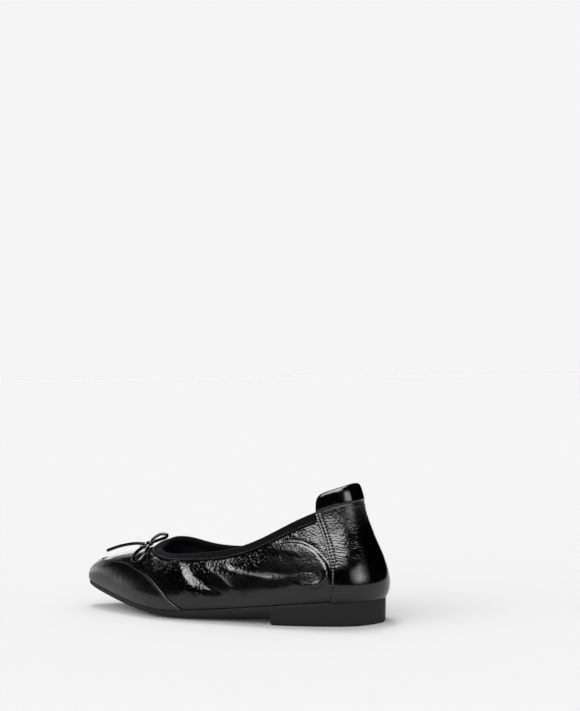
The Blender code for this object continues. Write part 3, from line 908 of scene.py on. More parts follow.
def quarter_relief(points, places, climbs):
    """How far each point of the skin stands out from the smooth last."""
    along = points[..., 0]
    height = points[..., 2]
    outer = np.zeros_like(along)
    inner = np.zeros_like(along)
    for fold in FOLDS:
        outer += fold_relief(along, height, fold)
        inner += fold_relief(along - INNER_SHIFT, height - INNER_LIFT, fold)
    outer += puff_relief(along, height)
    inner += puff_relief(along - INNER_SHIFT, height - INNER_LIFT)
    relief = np.where((places < TOE_TIP)[:, None], outer, INNER_SHARE * inner)
    edge = tape_climb(places)[:, None]
    below_tape = (edge - climbs[None, :]) * climb_rate(places, np.full(len(places), ROLL_CLIMB))[:, None]
    round_length = run_along(top_line(places))[:, None]
    drift = PUCKER_DRIFT * np.sin(round_length / DRIFT_LENGTH)
    wave = np.sin(2.0 * math.pi * round_length / PUCKER_PITCH + drift)
    uneven = 0.5 + 0.5 * np.sin(round_length / UNEVEN_LENGTH + 1.0)
    toe_off = np.abs(places - TOE_TIP)
    rolled = (ease(*ROLL_TOE, toe_off) * ease(*ROLL_HEEL, toe_off))[:, None]
    puckered = ease(PUCKER_REACH, 0.0, below_tape) * (PUCKER_REST + (1.0 - PUCKER_REST) * rolled)
    relief += PUCKER_RISE * wave * uneven * puckered
    relief += ROLL_RISE * rolled * ease(*ROLL_START, below_tape) * ease(*ROLL_END, below_tape)
    relief += CRUMPLE_RISE * crumple(points)
    return relief


def quarter_mask(places, climbs):
    """Where the quarters are free to fold: off the cap, the counter, the sole's edge and the tape."""
    heel_off = np.minimum(places, RIB_COUNT - places)[:, None]
    off_counter = ease(*FREE_OF_COUNTER, heel_off - counter_place(climbs)[None, :])
    cap = cap_climb(places)[:, None]
    off_cap = np.where(cap > 0.0, ease(*FREE_OF_CAP, climbs[None, :] - cap), 1.0)
    toe_off = np.abs(places - TOE_TIP)[:, None]
    off_vamp = ease(*FREE_OF_VAMP, toe_off)
    off_sole = ease(*FREE_OF_SOLE, climbs)[None, :]
    edge = tape_climb(places)[:, None]
    off_tape = ease(*FREE_OF_TAPE, climbs[None, :] - edge)
    return off_counter * off_cap * off_vamp * off_sole * off_tape


print(f"puff stands {PUFF_RISE} mm proud, puckers {PUCKER_RISE} mm")

# %% [markdown]
# ## The upper
#
# Vamp and quarters are one skin of leather with a textile lining glued inside it. The mesh is one closed
# body: fine rows up the outside with the creases in them, a few rows down the inside, and narrow strips
# that join the two at the opening and at the sole. The lining has its own material on the inner faces.

# %% Vamp and quarters
UPPER_COLUMNS = 860
UPPER_ROWS = 100
EVEN_CLIMB = 0.55
LINING_ROWS = 10

upper_places = even_places(0.0, RIB_COUNT, UPPER_COLUMNS + 1, EVEN_CLIMB)[:-1]
upper_climbs = np.linspace(0.0, 1.0, UPPER_ROWS)
smooth_skin = skin_point(upper_places[:, None], upper_climbs[None, :])
skin_ways = skin_normal(upper_places[:, None], upper_climbs[None, :])
free = quarter_mask(upper_places, upper_climbs)
relief = quarter_relief(smooth_skin, upper_places, upper_climbs) * free
outer_face = smooth_skin + relief[..., None] * skin_ways
lining_climbs = np.linspace(1.0, 0.0, LINING_ROWS)
lining_depth = np.full((UPPER_COLUMNS, LINING_ROWS), -WALL)
lining_face = skin(upper_places[:, None], lining_climbs[None, :], lining_depth)
body = np.concatenate([outer_face, lining_face], axis=1)
columns = UPPER_ROWS + LINING_ROWS
faces = []
for row in range(UPPER_COLUMNS):
    here = row * columns
    there = ((row + 1) % UPPER_COLUMNS) * columns
    for index in range(columns):
        after = (index + 1) % columns
        faces.append([here + index, here + after, there + after, there + index])
upper = add_piece(
    "upper_quarters", body.reshape(-1, 3), faces,
    [patent_leather, textile_lining], ["upper"],
)
inside = np.zeros((UPPER_COLUMNS, columns), bool)
inside[:, UPPER_ROWS:] = True
upper.data.polygons.foreach_set("material_index", inside.astype(np.int32).ravel())
print(f"relief of the quarters from {relief.min():.2f} to {relief.max():.2f} mm")

# %% [markdown]
# The film is not alike all over. Below the tape and round the leaf fold the leather is gathered, so it is
# pebbled and glossy there. Beside the puff it is stretched and shows wrinkles. The vamp, the puff's face
# and a strip along the sole lie smoother and duller. Each pair of values below is where one state ends and
# the other begins, in millimetres, or in climbs for the strip and in ribs for the vamp. A painted mask
# would do the same and would have to be painted again when a fold moves.

# %% Film of the quarters
RIB_LENGTH = 70.0
GATHER_REACH = (30.0, 6.0)
LEAF_REACH = (15.0, 3.0)
FOOT_STRIP = (0.1, 0.34)
VAMP_SIDE = (2.2, 2.7)
PUFF_FACE = (-0.5, 2.0)
PUFF_FRONT = (104.0, 88.0)
PUFF_TAUT = (84.0, 66.0)
BESIDE_EDGE = (1.0, -1.5)
BESIDE_FRONT = (66.0, 50.0)
BESIDE_FOOT = (26.0, 34.0)
RIM_REACH = (4.5, 2.0)
RIM_FRONT = (48.0, 34.0)
TAUT_LOSS = 0.8
PLAIN_CRINKLE = 0.1
BESIDE_CRINKLE = 0.55
VAMP_CRINKLE = 0.12
PLAIN_GRAIN = 0.1
PUFF_GRAIN = 0.15
LEAF_GRAIN = 0.6
BESIDE_LOSS = 0.85
PLAIN_SATIN = 0.5
GLOSS_GAIN = 0.42
BESIDE_GLOSS = 0.8


def set_film(name, values):
    """Store a value of the film on the outer rows of the upper; the lining's rows have none."""
    whole = np.zeros((UPPER_COLUMNS, columns))
    whole[:, :UPPER_ROWS] = values
    set_values(upper, name, whole)


on_inner = (upper_places >= TOE_TIP)[:, None]
film_along = smooth_skin[..., 0] - INNER_SHIFT * on_inner
film_height = smooth_skin[..., 2] - INNER_LIFT * on_inner
below_tape = (tape_climb(upper_places)[:, None] - upper_climbs[None, :]) * RIB_LENGTH
off_foot = ease(*FOOT_STRIP, upper_climbs)[None, :]
off_vamp = ease(*VAMP_SIDE, np.abs(upper_places - TOE_TIP))[:, None]
leaf_spots = np.stack([film_along.ravel(), film_height.ravel()], -1)
leaf_off = path_distance(leaf_spots, smooth_path(FOLDS[0].path, FOLD_STEPS))[0].reshape(film_along.shape)
round_leaf = ease(*LEAF_REACH, leaf_off)

inward = puff_place(film_along, film_height)
on_puff = ease(*PUFF_FACE, inward) * ease(*PUFF_FRONT, film_along)
on_rim = ease(*RIM_REACH, inward) * ease(*RIM_FRONT, film_along)
gathered = ease(*GATHER_REACH, below_tape) * (1.0 - TAUT_LOSS * on_puff * ease(*PUFF_TAUT, film_along))
beside_puff = ease(*BESIDE_EDGE, inward) * ease(*BESIDE_FRONT, film_along) * ease(*BESIDE_FOOT, film_height)

wrinkled = np.maximum(PLAIN_CRINKLE, BESIDE_CRINKLE * beside_puff) * off_foot
set_film("crinkle", wrinkled * (VAMP_CRINKLE + (1.0 - VAMP_CRINKLE) * off_vamp))
pebbled = np.maximum(gathered * (1.0 - BESIDE_LOSS * beside_puff), LEAF_GRAIN * round_leaf) * off_vamp
set_film("grain", (PLAIN_GRAIN + PUFF_GRAIN * on_puff + pebbled) * off_foot)
glossy = np.maximum(np.maximum(gathered, round_leaf) * off_vamp, on_rim)
set_film("satin", PLAIN_SATIN - GLOSS_GAIN * np.maximum(glossy, BESIDE_GLOSS * beside_puff))
print(f"film of the quarters: {100.0 * np.mean(pebbled > 0.5):.0f} % of the points are pebbled")

# %% [markdown]
# ## Toe cap and counter
#
# Both are second layers of leather, cut out, skived thin at the edge, folded over and sewn down, so each
# edge is a soft step about a millimetre high with a row of stitches beside it, pulled a little into the
# leather. The sheet follows the skin; only its lift changes near the edge.

# %% Overlay profile
EDGE_ROUND = 0.6
STITCH_INSET = 1.8
STITCH_PITCH = 2.3
STITCH_PULL = 0.1
STITCH_PIT = 0.35
STITCH_SPREAD = 0.65
HOLE_ROUND = 1.5
ROW_GAP = 2.5
SECOND_ROW = (0.42, 0.5)


def overlay_lift(off_edge, run, first, second):
    """The lift of an overlay's face by the distance in from its edge, the run along it and its two rows."""
    roll = np.clip(1.0 - off_edge / EDGE_ROUND, 0.0, 1.0)
    round_over = np.sqrt(np.clip(1.0 - roll**2, 0.0, 1.0))
    row = first * np.exp(-((off_edge - STITCH_INSET) / STITCH_SPREAD) ** 2)
    row = row + second * np.exp(-((off_edge - STITCH_INSET - ROW_GAP) / STITCH_SPREAD) ** 2)
    hole = (0.5 + 0.5 * np.cos(2.0 * math.pi * run / STITCH_PITCH)) ** HOLE_ROUND
    return OVERLAY_GAP + OVERLAY * round_over - row * (STITCH_PULL + STITCH_PIT * hole)


def edge_shares(count, fine, fine_part):
    """Shares from 0 to 1 with a fine last part, for a sheet that rounds over at its last edge."""
    coarse = np.linspace(0.0, 1.0 - fine_part, count - fine, endpoint=False)
    return np.concatenate([coarse, np.linspace(1.0 - fine_part, 1.0, fine)])


print(f"overlay {OVERLAY} mm thick, stitches {STITCH_INSET} mm in from its edge, {STITCH_PITCH} mm apart")

# %% [markdown]
# The toe cap is two wings that leave a pointed tongue of the vamp between them. Its leather is pulled tight
# over the toe, so its film is smooth, with faint streaks from the pull, and a little duller from wear.

# %% Toe cap
CAP_STREAK = 0.07
STREAK_STRETCH = (2.0, 2.0, 0.35)
CAP_COLUMNS = 440
CAP_ROWS = 56
CAP_EVEN_CLIMB = 0.2
CAP_FINE = (26, 0.18)
SEAM_STRIDE = 3
CAP_ROW_DEPTH = 0.3
CAP_FILM = {"crinkle": 0.05, "satin": 0.5}
CALM_EDGE = (0.5, 3.0)
OVERLAY_FOOT = 0.01
UNDER_LIFT = 0.2

half_cap = CAP_SEAM[-1, 0]
cap_places = even_places(TOE_TIP - half_cap, TOE_TIP + half_cap, CAP_COLUMNS, CAP_EVEN_CLIMB)
cap_shares = edge_shares(CAP_ROWS, *CAP_FINE)
cap_tops = cap_climb(cap_places)
cap_climbs = OVERLAY_FOOT + (cap_tops[:, None] - OVERLAY_FOOT) * cap_shares[None, :]
cap_grid_places = np.broadcast_to(cap_places[:, None], cap_climbs.shape)
seam_points = skin_point(cap_places, cap_tops)
cap_points = skin_point(cap_grid_places, cap_climbs)
to_seam = cap_points[:, :, None, :] - seam_points[None, None, ::SEAM_STRIDE, :]
off_edge = np.linalg.norm(to_seam, axis=-1).min(-1)
cap_lift = overlay_lift(off_edge, run_along(seam_points)[:, None], CAP_ROW_DEPTH, 0.0)
streaks = crumple(cap_points * np.array(STREAK_STRETCH))
cap_lift = cap_lift + CAP_STREAK * streaks * ease(*CALM_EDGE, off_edge)
cap_ways = skin_normal(cap_grid_places, cap_climbs)
cap_outer = cap_points + cap_lift[..., None] * cap_ways
cap_inner = cap_points + UNDER_LIFT * cap_ways
toe_cap = add_sheet("toe_cap_leather", cap_outer, cap_inner, patent_leather, ["toe_cap"])
for name, value in CAP_FILM.items():
    set_values(toe_cap, name, np.full(2 * cap_lift.size, value))
print(f"toe cap from {cap_climbs.min():.2f} to {cap_climbs.max():.2f} of the climb")

# %% [markdown]
# The counter wraps the back from one side seam to the other. The stiffener under it keeps the low part
# smooth. Above, the leather bends with the heel at each step, so its film has rings of wrinkles, and close
# under the tab it turns to fine pebbles with a duller gloss.

# %% Heel counter
COUNTER_COLUMNS = 180
COUNTER_ROWS = 180
COUNTER_FINE = (34, 0.16)
COUNTER_WAVE = 0.16
WAVE_FOOT = (0.2, 0.5)
WAVE_EDGE = (1.0, 6.0)
RINGS_START = (0.38, 0.62)
RINGS_END = (0.62, 0.84)
RINGS_LOSS = 0.7
LOW_CRINKLE = 0.06
PEBBLES_START = (0.66, 0.84)
PEBBLES_GRAIN = 0.42
DULL_START = (0.68, 0.86)
LOW_SATIN = 0.12
DULL_GAIN = 0.5

half_shares = edge_shares(COUNTER_COLUMNS // 2, *COUNTER_FINE)
counter_shares = np.concatenate([-half_shares[::-1], half_shares[1:]])
counter_climbs = np.linspace(OVERLAY_FOOT, 1.0, COUNTER_ROWS)
counter_grid_climbs = np.broadcast_to(counter_climbs[None, :], (len(counter_shares), COUNTER_ROWS))
counter_grid_places = counter_shares[:, None] * counter_place(counter_climbs)[None, :]
seam_off = counter_place(counter_climbs)[None, :] - np.abs(counter_grid_places)
off_edge = seam_off * place_rate(counter_grid_places, counter_grid_climbs)
counter_points = skin_point(counter_grid_places, counter_grid_climbs)
counter_ways = skin_normal(counter_grid_places, counter_grid_climbs)
seam_run = run_along(skin_point(counter_place(counter_climbs), counter_climbs))
counter_lift = overlay_lift(off_edge, seam_run[None, :], 1.0, ease(*SECOND_ROW, counter_climbs)[None, :])
swelling = ease(*WAVE_FOOT, counter_grid_climbs) * ease(*WAVE_EDGE, off_edge)
swells = COUNTER_WAVE * crumple(counter_points) * swelling
counter_outer = counter_points + (counter_lift + swells)[..., None] * counter_ways
counter_inner = counter_points + UNDER_LIFT * counter_ways
heel_counter = add_sheet(
    "heel_counter_leather", counter_outer, counter_inner,
    patent_leather, ["heel_counter"],
)
calm = ease(*CALM_EDGE, off_edge)
rings = ease(*RINGS_START, counter_grid_climbs) * (1.0 - RINGS_LOSS * ease(*RINGS_END, counter_grid_climbs))
counter_film = {
    "crinkle": LOW_CRINKLE + (1.0 - LOW_CRINKLE) * rings * calm,
    "grain": PEBBLES_GRAIN * ease(*PEBBLES_START, counter_grid_climbs) * calm,
    "satin": LOW_SATIN + DULL_GAIN * ease(*DULL_START, counter_grid_climbs),
}
for name, values in counter_film.items():
    set_values(heel_counter, name, np.concatenate([values.ravel(), values.ravel()]))
print(f"counter seam {seam_run[-1]:.0f} mm long on each side")

# %% [markdown]
# ## The heel tab
#
# The top of the back carries a padded strip: leather folded over a roll of foam and sewn down along its
# base, so that it doesn't cut into the heel. It is a loft of upright soft sections along the back edge,
# lower and rounder at both ends, with shallow dents where the leather gathers round the bend.

# %% Padded heel tab
TAB_END = 2.04
TAB_HEIGHT = 12.4
TAB_THICK = 6.0
TAB_LEAN = 0.36
TAB_SIDE_LEAN = 0.13
TAB_LEAN_POWER = 5
TAB_GAIN = 0.08
TAB_ROUND = 0.55
TAB_SQUARENESS = 24
TAB_SOFTNESS = 0.6
TAB_OVERLAP = 1.6
TAB_SECTIONS = 150
TAB_POINTS = 48
TAB_PINCH = 0.5
TAB_PINCH_REACH = 0.14
TAB_TAPER = 0.5
TAB_TAPER_POWER = 40
TAB_GATHERS = [(0.03, 23.0, 0.0), (0.02, 41.0, 1.0)]
TAB_SEAT = 1.5 * CLEAR
TAB_FILM = {"crinkle": 0.12, "grain": 0.1, "satin": 0.15}


def soft_square(wave):
    """A sine or cosine pushed towards its ends, which turns a round section into a soft square."""
    return np.copysign(np.abs(wave) ** TAB_SOFTNESS, wave)


tab_shares = np.sin(np.linspace(-math.pi / 2.0, math.pi / 2.0, TAB_SECTIONS))
tab_places = tab_shares * TAB_END
tab_out = outward(top_line, tab_places)
tab_lean = TAB_SIDE_LEAN + (TAB_LEAN - TAB_SIDE_LEAN) * (1.0 - tab_shares**2) ** TAB_LEAN_POWER
tab_rise = UP - tab_lean[:, None] * tab_out
tab_corner = np.sqrt(1.0 - TAB_ROUND * np.abs(tab_shares) ** TAB_SQUARENESS)
tab_height = TAB_HEIGHT * (1.0 + TAB_GAIN * tab_shares**2) * tab_corner
tab_foot = skin_point(tab_places, 1.0) + tab_rise * TAB_SEAT - tab_out * WALL / 2.0
spins = 2.0 * math.pi * (np.arange(TAB_POINTS) + 0.5) / TAB_POINTS
tab_sideways = soft_square(np.cos(spins)) * TAB_THICK / 2.0
tab_upright = (1.0 + soft_square(np.sin(spins))) / 2.0
pinch = 1.0 - TAB_PINCH / TAB_THICK * 2.0 * np.exp(-(tab_upright / TAB_PINCH_REACH) ** 2)
end_taper = np.sqrt(1.0 - TAB_TAPER * np.abs(tab_shares) ** TAB_TAPER_POWER)
gather = 1.0 + sum(depth * np.sin(tab_shares * waves + start) for depth, waves, start in TAB_GATHERS)
tab_wide = tab_sideways[None, :] * pinch[None, :] * (end_taper * gather)[:, None]
tab_tall = tab_upright[None, :] * (tab_height[:, None] + TAB_OVERLAP) - TAB_OVERLAP
tab_level = tab_wide[..., None] * tab_out[:, None, :]
tab_risen = tab_tall[..., None] * tab_rise[:, None, :]
tab_loops = tab_foot[:, None, :] + tab_level + tab_risen
heel_tab = add_loft("heel_tab_pad", tab_loops, patent_leather, ["heel_tab"])
for name, value in TAB_FILM.items():
    set_values(heel_tab, name, np.full(TAB_SECTIONS * TAB_POINTS, value))
print(f"tab {tab_height.min():.1f} to {tab_height.max():.1f} mm high, {TAB_THICK} mm thick")

# %% [markdown]
# ## The elastic tape
#
# A matt elastic tape is folded over the edge of the opening and sewn through near its lower edge. Its
# section is an upside-down U with a round crown. The tape is drawn up by its own stretch, so its face
# ripples a little between the stitches.

# %% Topline tape
TAPE_END = 2.03
TAPE_COLUMNS = 560
TAPE_LEG = 12
TAPE_ARC = 12
TAPE_EDGE = 0.55
TAPE_RIPPLE = 0.05
TAPE_RIPPLE_PITCH = 2.4
THIN_STEPS = [0.0, 0.04, 0.09]
LEG_START = 0.16
CROWN_LENGTH = 4.0

tape_places = even_places(TAPE_END, RIB_COUNT - TAPE_END, TAPE_COLUMNS, 1.0)
tape_low = tape_climb(tape_places)
leg_shares = np.concatenate([THIN_STEPS, np.linspace(LEG_START, 1.0, TAPE_LEG - len(THIN_STEPS))])
leg_climbs = tape_low[:, None] + (1.0 - tape_low[:, None]) * leg_shares[None, :]
leg_places = np.broadcast_to(tape_places[:, None], leg_climbs.shape)
leg_points = skin_point(leg_places, leg_climbs)
leg_ways = skin_normal(leg_places, leg_climbs)
edge_point = skin_point(tape_places, 1.0)
edge_way = skin_normal(tape_places, 1.0)
edge_rise = unit(edge_point - skin_point(tape_places, 1.0 - 2.0 * NEAR))
crown_middle = edge_point - edge_way * WALL / 2.0
arc_turns = np.linspace(0.0, math.pi, TAPE_ARC + 2)[1:-1]
tape_run = run_along(edge_point)
ripple = TAPE_RIPPLE * np.sin(2.0 * math.pi * tape_run / TAPE_RIPPLE_PITCH)[:, None]
edge_thin = 1.0 - TAPE_EDGE * np.clip(1.0 - leg_shares / THIN_STEPS[-1], 0.0, 1.0) ** 2


def tape_face(thickness):
    """One face of the tape: up the outside, over the crown, down the inside."""
    swell = ripple * (thickness > 0.0) * np.sin(math.pi * leg_shares)[None, :]
    outside_lift = CLEAR + thickness * edge_thin[None, :] + swell
    inside_lift = -WALL - CLEAR - thickness * edge_thin[None, :]
    outside = leg_points + outside_lift[..., None] * leg_ways
    inside_leg = leg_points + (inside_lift * np.ones_like(leg_climbs))[..., None] * leg_ways
    radius = WALL / 2.0 + CLEAR + thickness
    level = np.cos(arc_turns)[None, :, None] * edge_way[:, None, :]
    risen = np.sin(arc_turns)[None, :, None] * edge_rise[:, None, :]
    crown = crown_middle[:, None, :] + radius * (level + risen)
    return np.concatenate([outside, crown, inside_leg[:, ::-1]], axis=1)


tape = add_sheet(
    "topline_tape", tape_face(TAPE), tape_face(0.0), elastic_tape, ["topline_binding"],
)
tape_columns = 2 * TAPE_LEG + TAPE_ARC
strip_map = np.zeros((2, TAPE_COLUMNS, tape_columns, 2))
strip_map[..., 0] = tape_run[None, :, None]
strip_map[..., 1] = np.linspace(0.0, 2.0 * TAPE_WIDTH + CROWN_LENGTH, tape_columns)[None, None, :]
flat_map = strip_map.reshape(-1, 2)
corner_points = np.zeros(len(tape.data.loops), np.int32)
tape.data.loops.foreach_get("vertex_index", corner_points)
strip_layer = tape.data.uv_layers.new(name="strip")
strip_layer.data.foreach_set("uv", flat_map[corner_points].astype(np.float32).ravel())
print(f"tape length {tape_run[-1]:.0f} mm")

# %% [markdown]
# ## Stitches
#
# Rows of lock stitches hold the cap, the counter, the tab and the tape. Each stitch is a short grain of
# thread that dives into the leather at both ends. A dashed texture would be flat in other views, so each
# row is a mesh of small capsules laid along its line.

# %% Stitch rows
CAP_ROW_POINTS = 500
STITCH_SIDES = 6
STITCH_RINGS = 5
STITCH_LENGTH = 1.7
STITCH_BOW = 0.12
STITCH_SEAT = 0.2
THREAD = 0.75
THREAD_TIP = 0.35


def add_stitches(name, line, ways, pitch, length):
    """One piece of separate stitches along a line of points, seated on the surface below it."""
    run = run_along(line)
    count = int(run[-1] / pitch)
    bow = np.sin(np.linspace(0.0, math.pi, STITCH_RINGS))
    radius = THREAD / 2.0 * (THREAD_TIP + (1.0 - THREAD_TIP) * bow**0.5)
    turns = np.linspace(0.0, 2.0 * math.pi, STITCH_SIDES, endpoint=False)
    points = []
    faces = []
    for number in range(count):
        marks = (number + 0.5) * pitch + np.linspace(-0.5, 0.5, STITCH_RINGS) * length
        spots = np.stack([np.interp(marks, run, line[:, axis]) for axis in range(3)], -1)
        upward = unit(np.stack([np.interp(marks, run, ways[:, axis]) for axis in range(3)], -1))
        forward = unit(np.gradient(spots, axis=0))
        sideways = np.cross(forward, upward)
        spots = spots + STITCH_BOW * (bow - 0.5)[:, None] * upward
        faces += loft_faces(STITCH_RINGS, STITCH_SIDES, len(points))
        for ring in range(STITCH_RINGS):
            for spin in turns:
                lean = math.cos(spin) * sideways[ring] + math.sin(spin) * upward[ring]
                points.append(spots[ring] + radius[ring] * lean)
    print(f"{name}: {count} stitches")
    return add_piece(name, np.array(points), faces, [sewing_thread])


# %% [markdown]
# The cap's row runs a fixed way in from its seam. The seam turns sharply at the tongue, so the row is set
# off square to the seam on the skin. Counting climbs down from it would pinch the row at the turn.

# %% Stitches of the toe cap
seam_line_places = np.linspace(TOE_TIP - half_cap, TOE_TIP + half_cap, CAP_ROW_POINTS)
seam_tops = cap_climb(seam_line_places)
seam_curve = skin_point(seam_line_places, seam_tops)
seam_forward = unit(np.gradient(seam_curve, axis=0))
seam_ways = skin_normal(seam_line_places, seam_tops)
into_cap = unit(np.cross(seam_ways, seam_forward))
toward_foot = skin_point(seam_line_places, seam_tops - 2.0 * NEAR) - seam_curve
into_cap *= np.sign((into_cap * toward_foot).sum(-1, keepdims=True))
stitch_height = OVERLAY_GAP + OVERLAY - STITCH_PULL - STITCH_SEAT
cap_row = seam_curve + STITCH_INSET * into_cap + stitch_height * seam_ways
add_stitches("toe_cap_stitches", cap_row, seam_ways, STITCH_PITCH, STITCH_LENGTH)

# %% [markdown]
# The counter has a row along each side seam and a second one beside its upper part. One more row holds the
# base of the tab, and a finer one the hem of the tape. These lines follow the ribs, so places and climbs
# are all that they need.

# %% Stitches of the counter, the tab and the tape
ROW_POINTS = 400
ROW_TOP = 0.97
SECOND_FIRST = 190
TAB_ROW_POINTS = 300
TAB_ROW_CLIMB = 0.955
TAB_ROW_MARGIN = 0.12
HEM_POINTS = 900
HEM_SHARE = 0.18
HEM_MARGIN = 0.03
HEM_PITCH = 1.9
HEM_LENGTH = 1.1


def sew(name, places, climbs, lift, pitch, length):
    """A row of stitches along places and climbs of the skin, at one height over it."""
    ways = skin_normal(places, climbs)
    add_stitches(name, skin_point(places, climbs) + lift * ways, ways, pitch, length)


row_climbs = np.linspace(OVERLAY_FOOT, ROW_TOP, ROW_POINTS)
counter_rows = [
    ("main", STITCH_INSET, row_climbs),
    ("second", STITCH_INSET + ROW_GAP, row_climbs[SECOND_FIRST:]),
]
for side, side_name in ((1.0, "lateral"), (-1.0, "medial")):
    for row_name, inset, climbs in counter_rows:
        edge_places = counter_place(climbs)
        row_places = side * (edge_places - inset / place_rate(side * edge_places, climbs))
        sew(
            f"counter_stitches_{side_name}_{row_name}", row_places, climbs,
            stitch_height, STITCH_PITCH, STITCH_LENGTH,
        )

tab_row_places = np.linspace(-TAB_END + TAB_ROW_MARGIN, TAB_END - TAB_ROW_MARGIN, TAB_ROW_POINTS)
sew(
    "tab_stitches", tab_row_places, np.full(TAB_ROW_POINTS, TAB_ROW_CLIMB),
    OVERLAY_GAP + OVERLAY, STITCH_PITCH, STITCH_LENGTH,
)
hem_places = np.linspace(TAPE_END + HEM_MARGIN, RIB_COUNT - TAPE_END - HEM_MARGIN, HEM_POINTS)
hem_climbs = tape_climb(hem_places) + HEM_SHARE * (1.0 - tape_climb(hem_places))
sew("tape_stitches", hem_places, hem_climbs, CLEAR + TAPE, HEM_PITCH, HEM_LENGTH)

# %% [markdown]
# ## The sole
#
# Sole and heel are one moulding: a thin wall that follows the upper's edge, an undercut beneath it, a flat
# tread and a low heel. The loft takes its sections from the same sizes as the solid, closer together, and
# rounds each corner of a section, because moulded edges always have a small radius that catches light.

# %% Sections of the sole
HEEL_LENGTH = 68.5
SOLE_LIP = 0.9
LIP_SPRING = (170.0, 215.0)
SOLE_WALL = 4.2
WAIST_LIFT = 4.4
TREAD_START = 126.0
TREAD_END = 156.0
TOE_FLOOR = 15.8
BREAST_UNDERCUT = 8.0
TREAD_UNDERCUT = 12.0
HEEL_TAPER = 1.2
HEEL_EDGE = 0.9
WALL_DRAFT = 0.3
BEVEL_BREAK = 0.45
LEAST_WALL = 0.4
NARROW_SHARE = 0.9
CORNER_STEPS = 5
CORNER_SHARE = 0.45
HEEL_ROUNDS = (0.5, 2.0, 0.5, 0.6)
LIP_ROUND = 0.5
LIP_GAIN = 0.7
TREAD_ROUNDS = (0.9, 3.0, 3.0)
BREAST_ROUND = 0.9
BREAST_STEPS = 6
BREAST_GAPS = (0.3, 0.5)
SOLE_STATIONS = 230
EDGE_POINTS = 1200
SOLE_CREASE = 50.0


def edge_tables(lip):
    """Dense tables of the sole's edge, outer and inner side, moved out by a lip."""
    tables = []
    for start, end in ((0.0, TOE_TIP), (RIB_COUNT, TOE_TIP)):
        places = np.linspace(start, end, EDGE_POINTS)
        tables.append(foot_line(places) + lip * outward(foot_line, places))
    return tables


def bunched(start, end, count):
    """Places from start to end that lie closer together towards both ends."""
    return start + (end - start) * (1.0 - np.cos(np.linspace(0.0, math.pi, count))) / 2.0


def width_at(along, tables):
    """The middle and half the width between the two edges at one place along the shoe."""
    outer, inner = [np.interp(along, table[:, 0], table[:, 1]) for table in tables]
    return (outer + inner) / 2.0, (outer - inner) / 2.0


def round_corners(corners, radii):
    """An open outline with each inner corner replaced by a short curve."""
    rounded = [corners[0]]
    for before, corner, after, radius in zip(corners, corners[1:], corners[2:], radii):
        first_way = before - corner
        second_way = after - corner
        first = corner + first_way * min(radius / max(np.linalg.norm(first_way), 1e-6), CORNER_SHARE)
        second = corner + second_way * min(radius / max(np.linalg.norm(second_way), 1e-6), CORNER_SHARE)
        for share in np.linspace(0.0, 1.0, CORNER_STEPS):
            bend = (1 - share) ** 2 * first + 2 * share * (1 - share) * corner + share**2 * second
            rounded.append(bend)
    rounded.append(corners[-1])
    return np.array(rounded)


def sole_side(along, half_width, floor_lift, under_heel):
    """One side of a section, from the middle of its top to the middle of its floor: inset, height."""
    top = float(seat_height(along))
    if under_heel:
        steps = [(0.0, top), (WALL_DRAFT, top - SOLE_WALL), (HEEL_TAPER, HEEL_EDGE + floor_lift)]
        steps.append((HEEL_TAPER + HEEL_EDGE, floor_lift))
        radii = HEEL_ROUNDS
    else:
        share = min(max((along - HEEL_LENGTH) / (TREAD_START - HEEL_LENGTH), 0.0), 1.0)
        undercut = BREAST_UNDERCUT + (TREAD_UNDERCUT - BREAST_UNDERCUT) * share
        waist = min(max((TREAD_START - along) / (TREAD_START - HEEL_LENGTH), 0.0), 1.0)
        spring = max((along - TREAD_END) / (LENGTH - TREAD_END), 0.0)
        floor = WAIST_LIFT * waist * waist * (3.0 - 2.0 * waist) + TOE_FLOOR * spring**TOE_CURL
        wall_foot = max(top - SOLE_WALL, floor + LEAST_WALL)
        bevel = (undercut * BEVEL_BREAK, (wall_foot + 2.0 * floor) / 3.0)
        steps = [(0.0, top), (WALL_DRAFT, wall_foot), bevel, (undercut, floor)]
        radii = (LIP_ROUND + LIP_GAIN * float(ease(*LIP_SPRING, along)), *TREAD_ROUNDS)
    narrow = NARROW_SHARE * half_width
    outline = [(half_width, top)] + [(min(inset, narrow), height) for inset, height in steps]
    outline.append((half_width, outline[-1][1]))
    return round_corners(np.array(outline), radii)


print(f"sole {seat_height(HEEL_FLAT_END):.1f} mm high at the heel, {seat_height(BALL_ALONG):.1f} at the ball")

# %% [markdown]
# The sections stand closer together towards both ends, where the outline turns fast. A few more round the
# heel's breast, its front face, off towards the floor.

# %% Moulded sole
sole_edges = edge_tables(SOLE_LIP)
sole_start = sole_edges[0][0, 0] + CLEAR / 2.0
sole_end = sole_edges[0][-1, 0] - CLEAR / 2.0
stations = bunched(sole_start, sole_end, SOLE_STATIONS)
breast = HEEL_LENGTH - CLEAR
rows = [(along, 0.0, True) for along in stations if along < breast - BREAST_ROUND - BREAST_GAPS[0]]
for bend in np.linspace(0.0, math.pi / 2.0, BREAST_STEPS):
    back_off = BREAST_ROUND * (1.0 - math.sin(bend))
    rows.append((breast - back_off, BREAST_ROUND * (1.0 - math.cos(bend)), True))
rows.append((HEEL_LENGTH, 0.0, False))
rows += [(along, 0.0, False) for along in stations if along > HEEL_LENGTH + BREAST_GAPS[1]]
sole_sections = []
for along, floor_lift, under_heel in rows:
    middle, half_width = width_at(along, sole_edges)
    side = sole_side(along, half_width, floor_lift, under_heel)
    outer_side = np.stack([np.full(len(side), along), middle + half_width - side[:, 0], side[:, 1]], -1)
    inner_side = np.stack([np.full(len(side), along), middle - half_width + side[:, 0], side[:, 1]], -1)
    sole_sections.append(np.concatenate([outer_side, inner_side[::-1][1:-1]]))
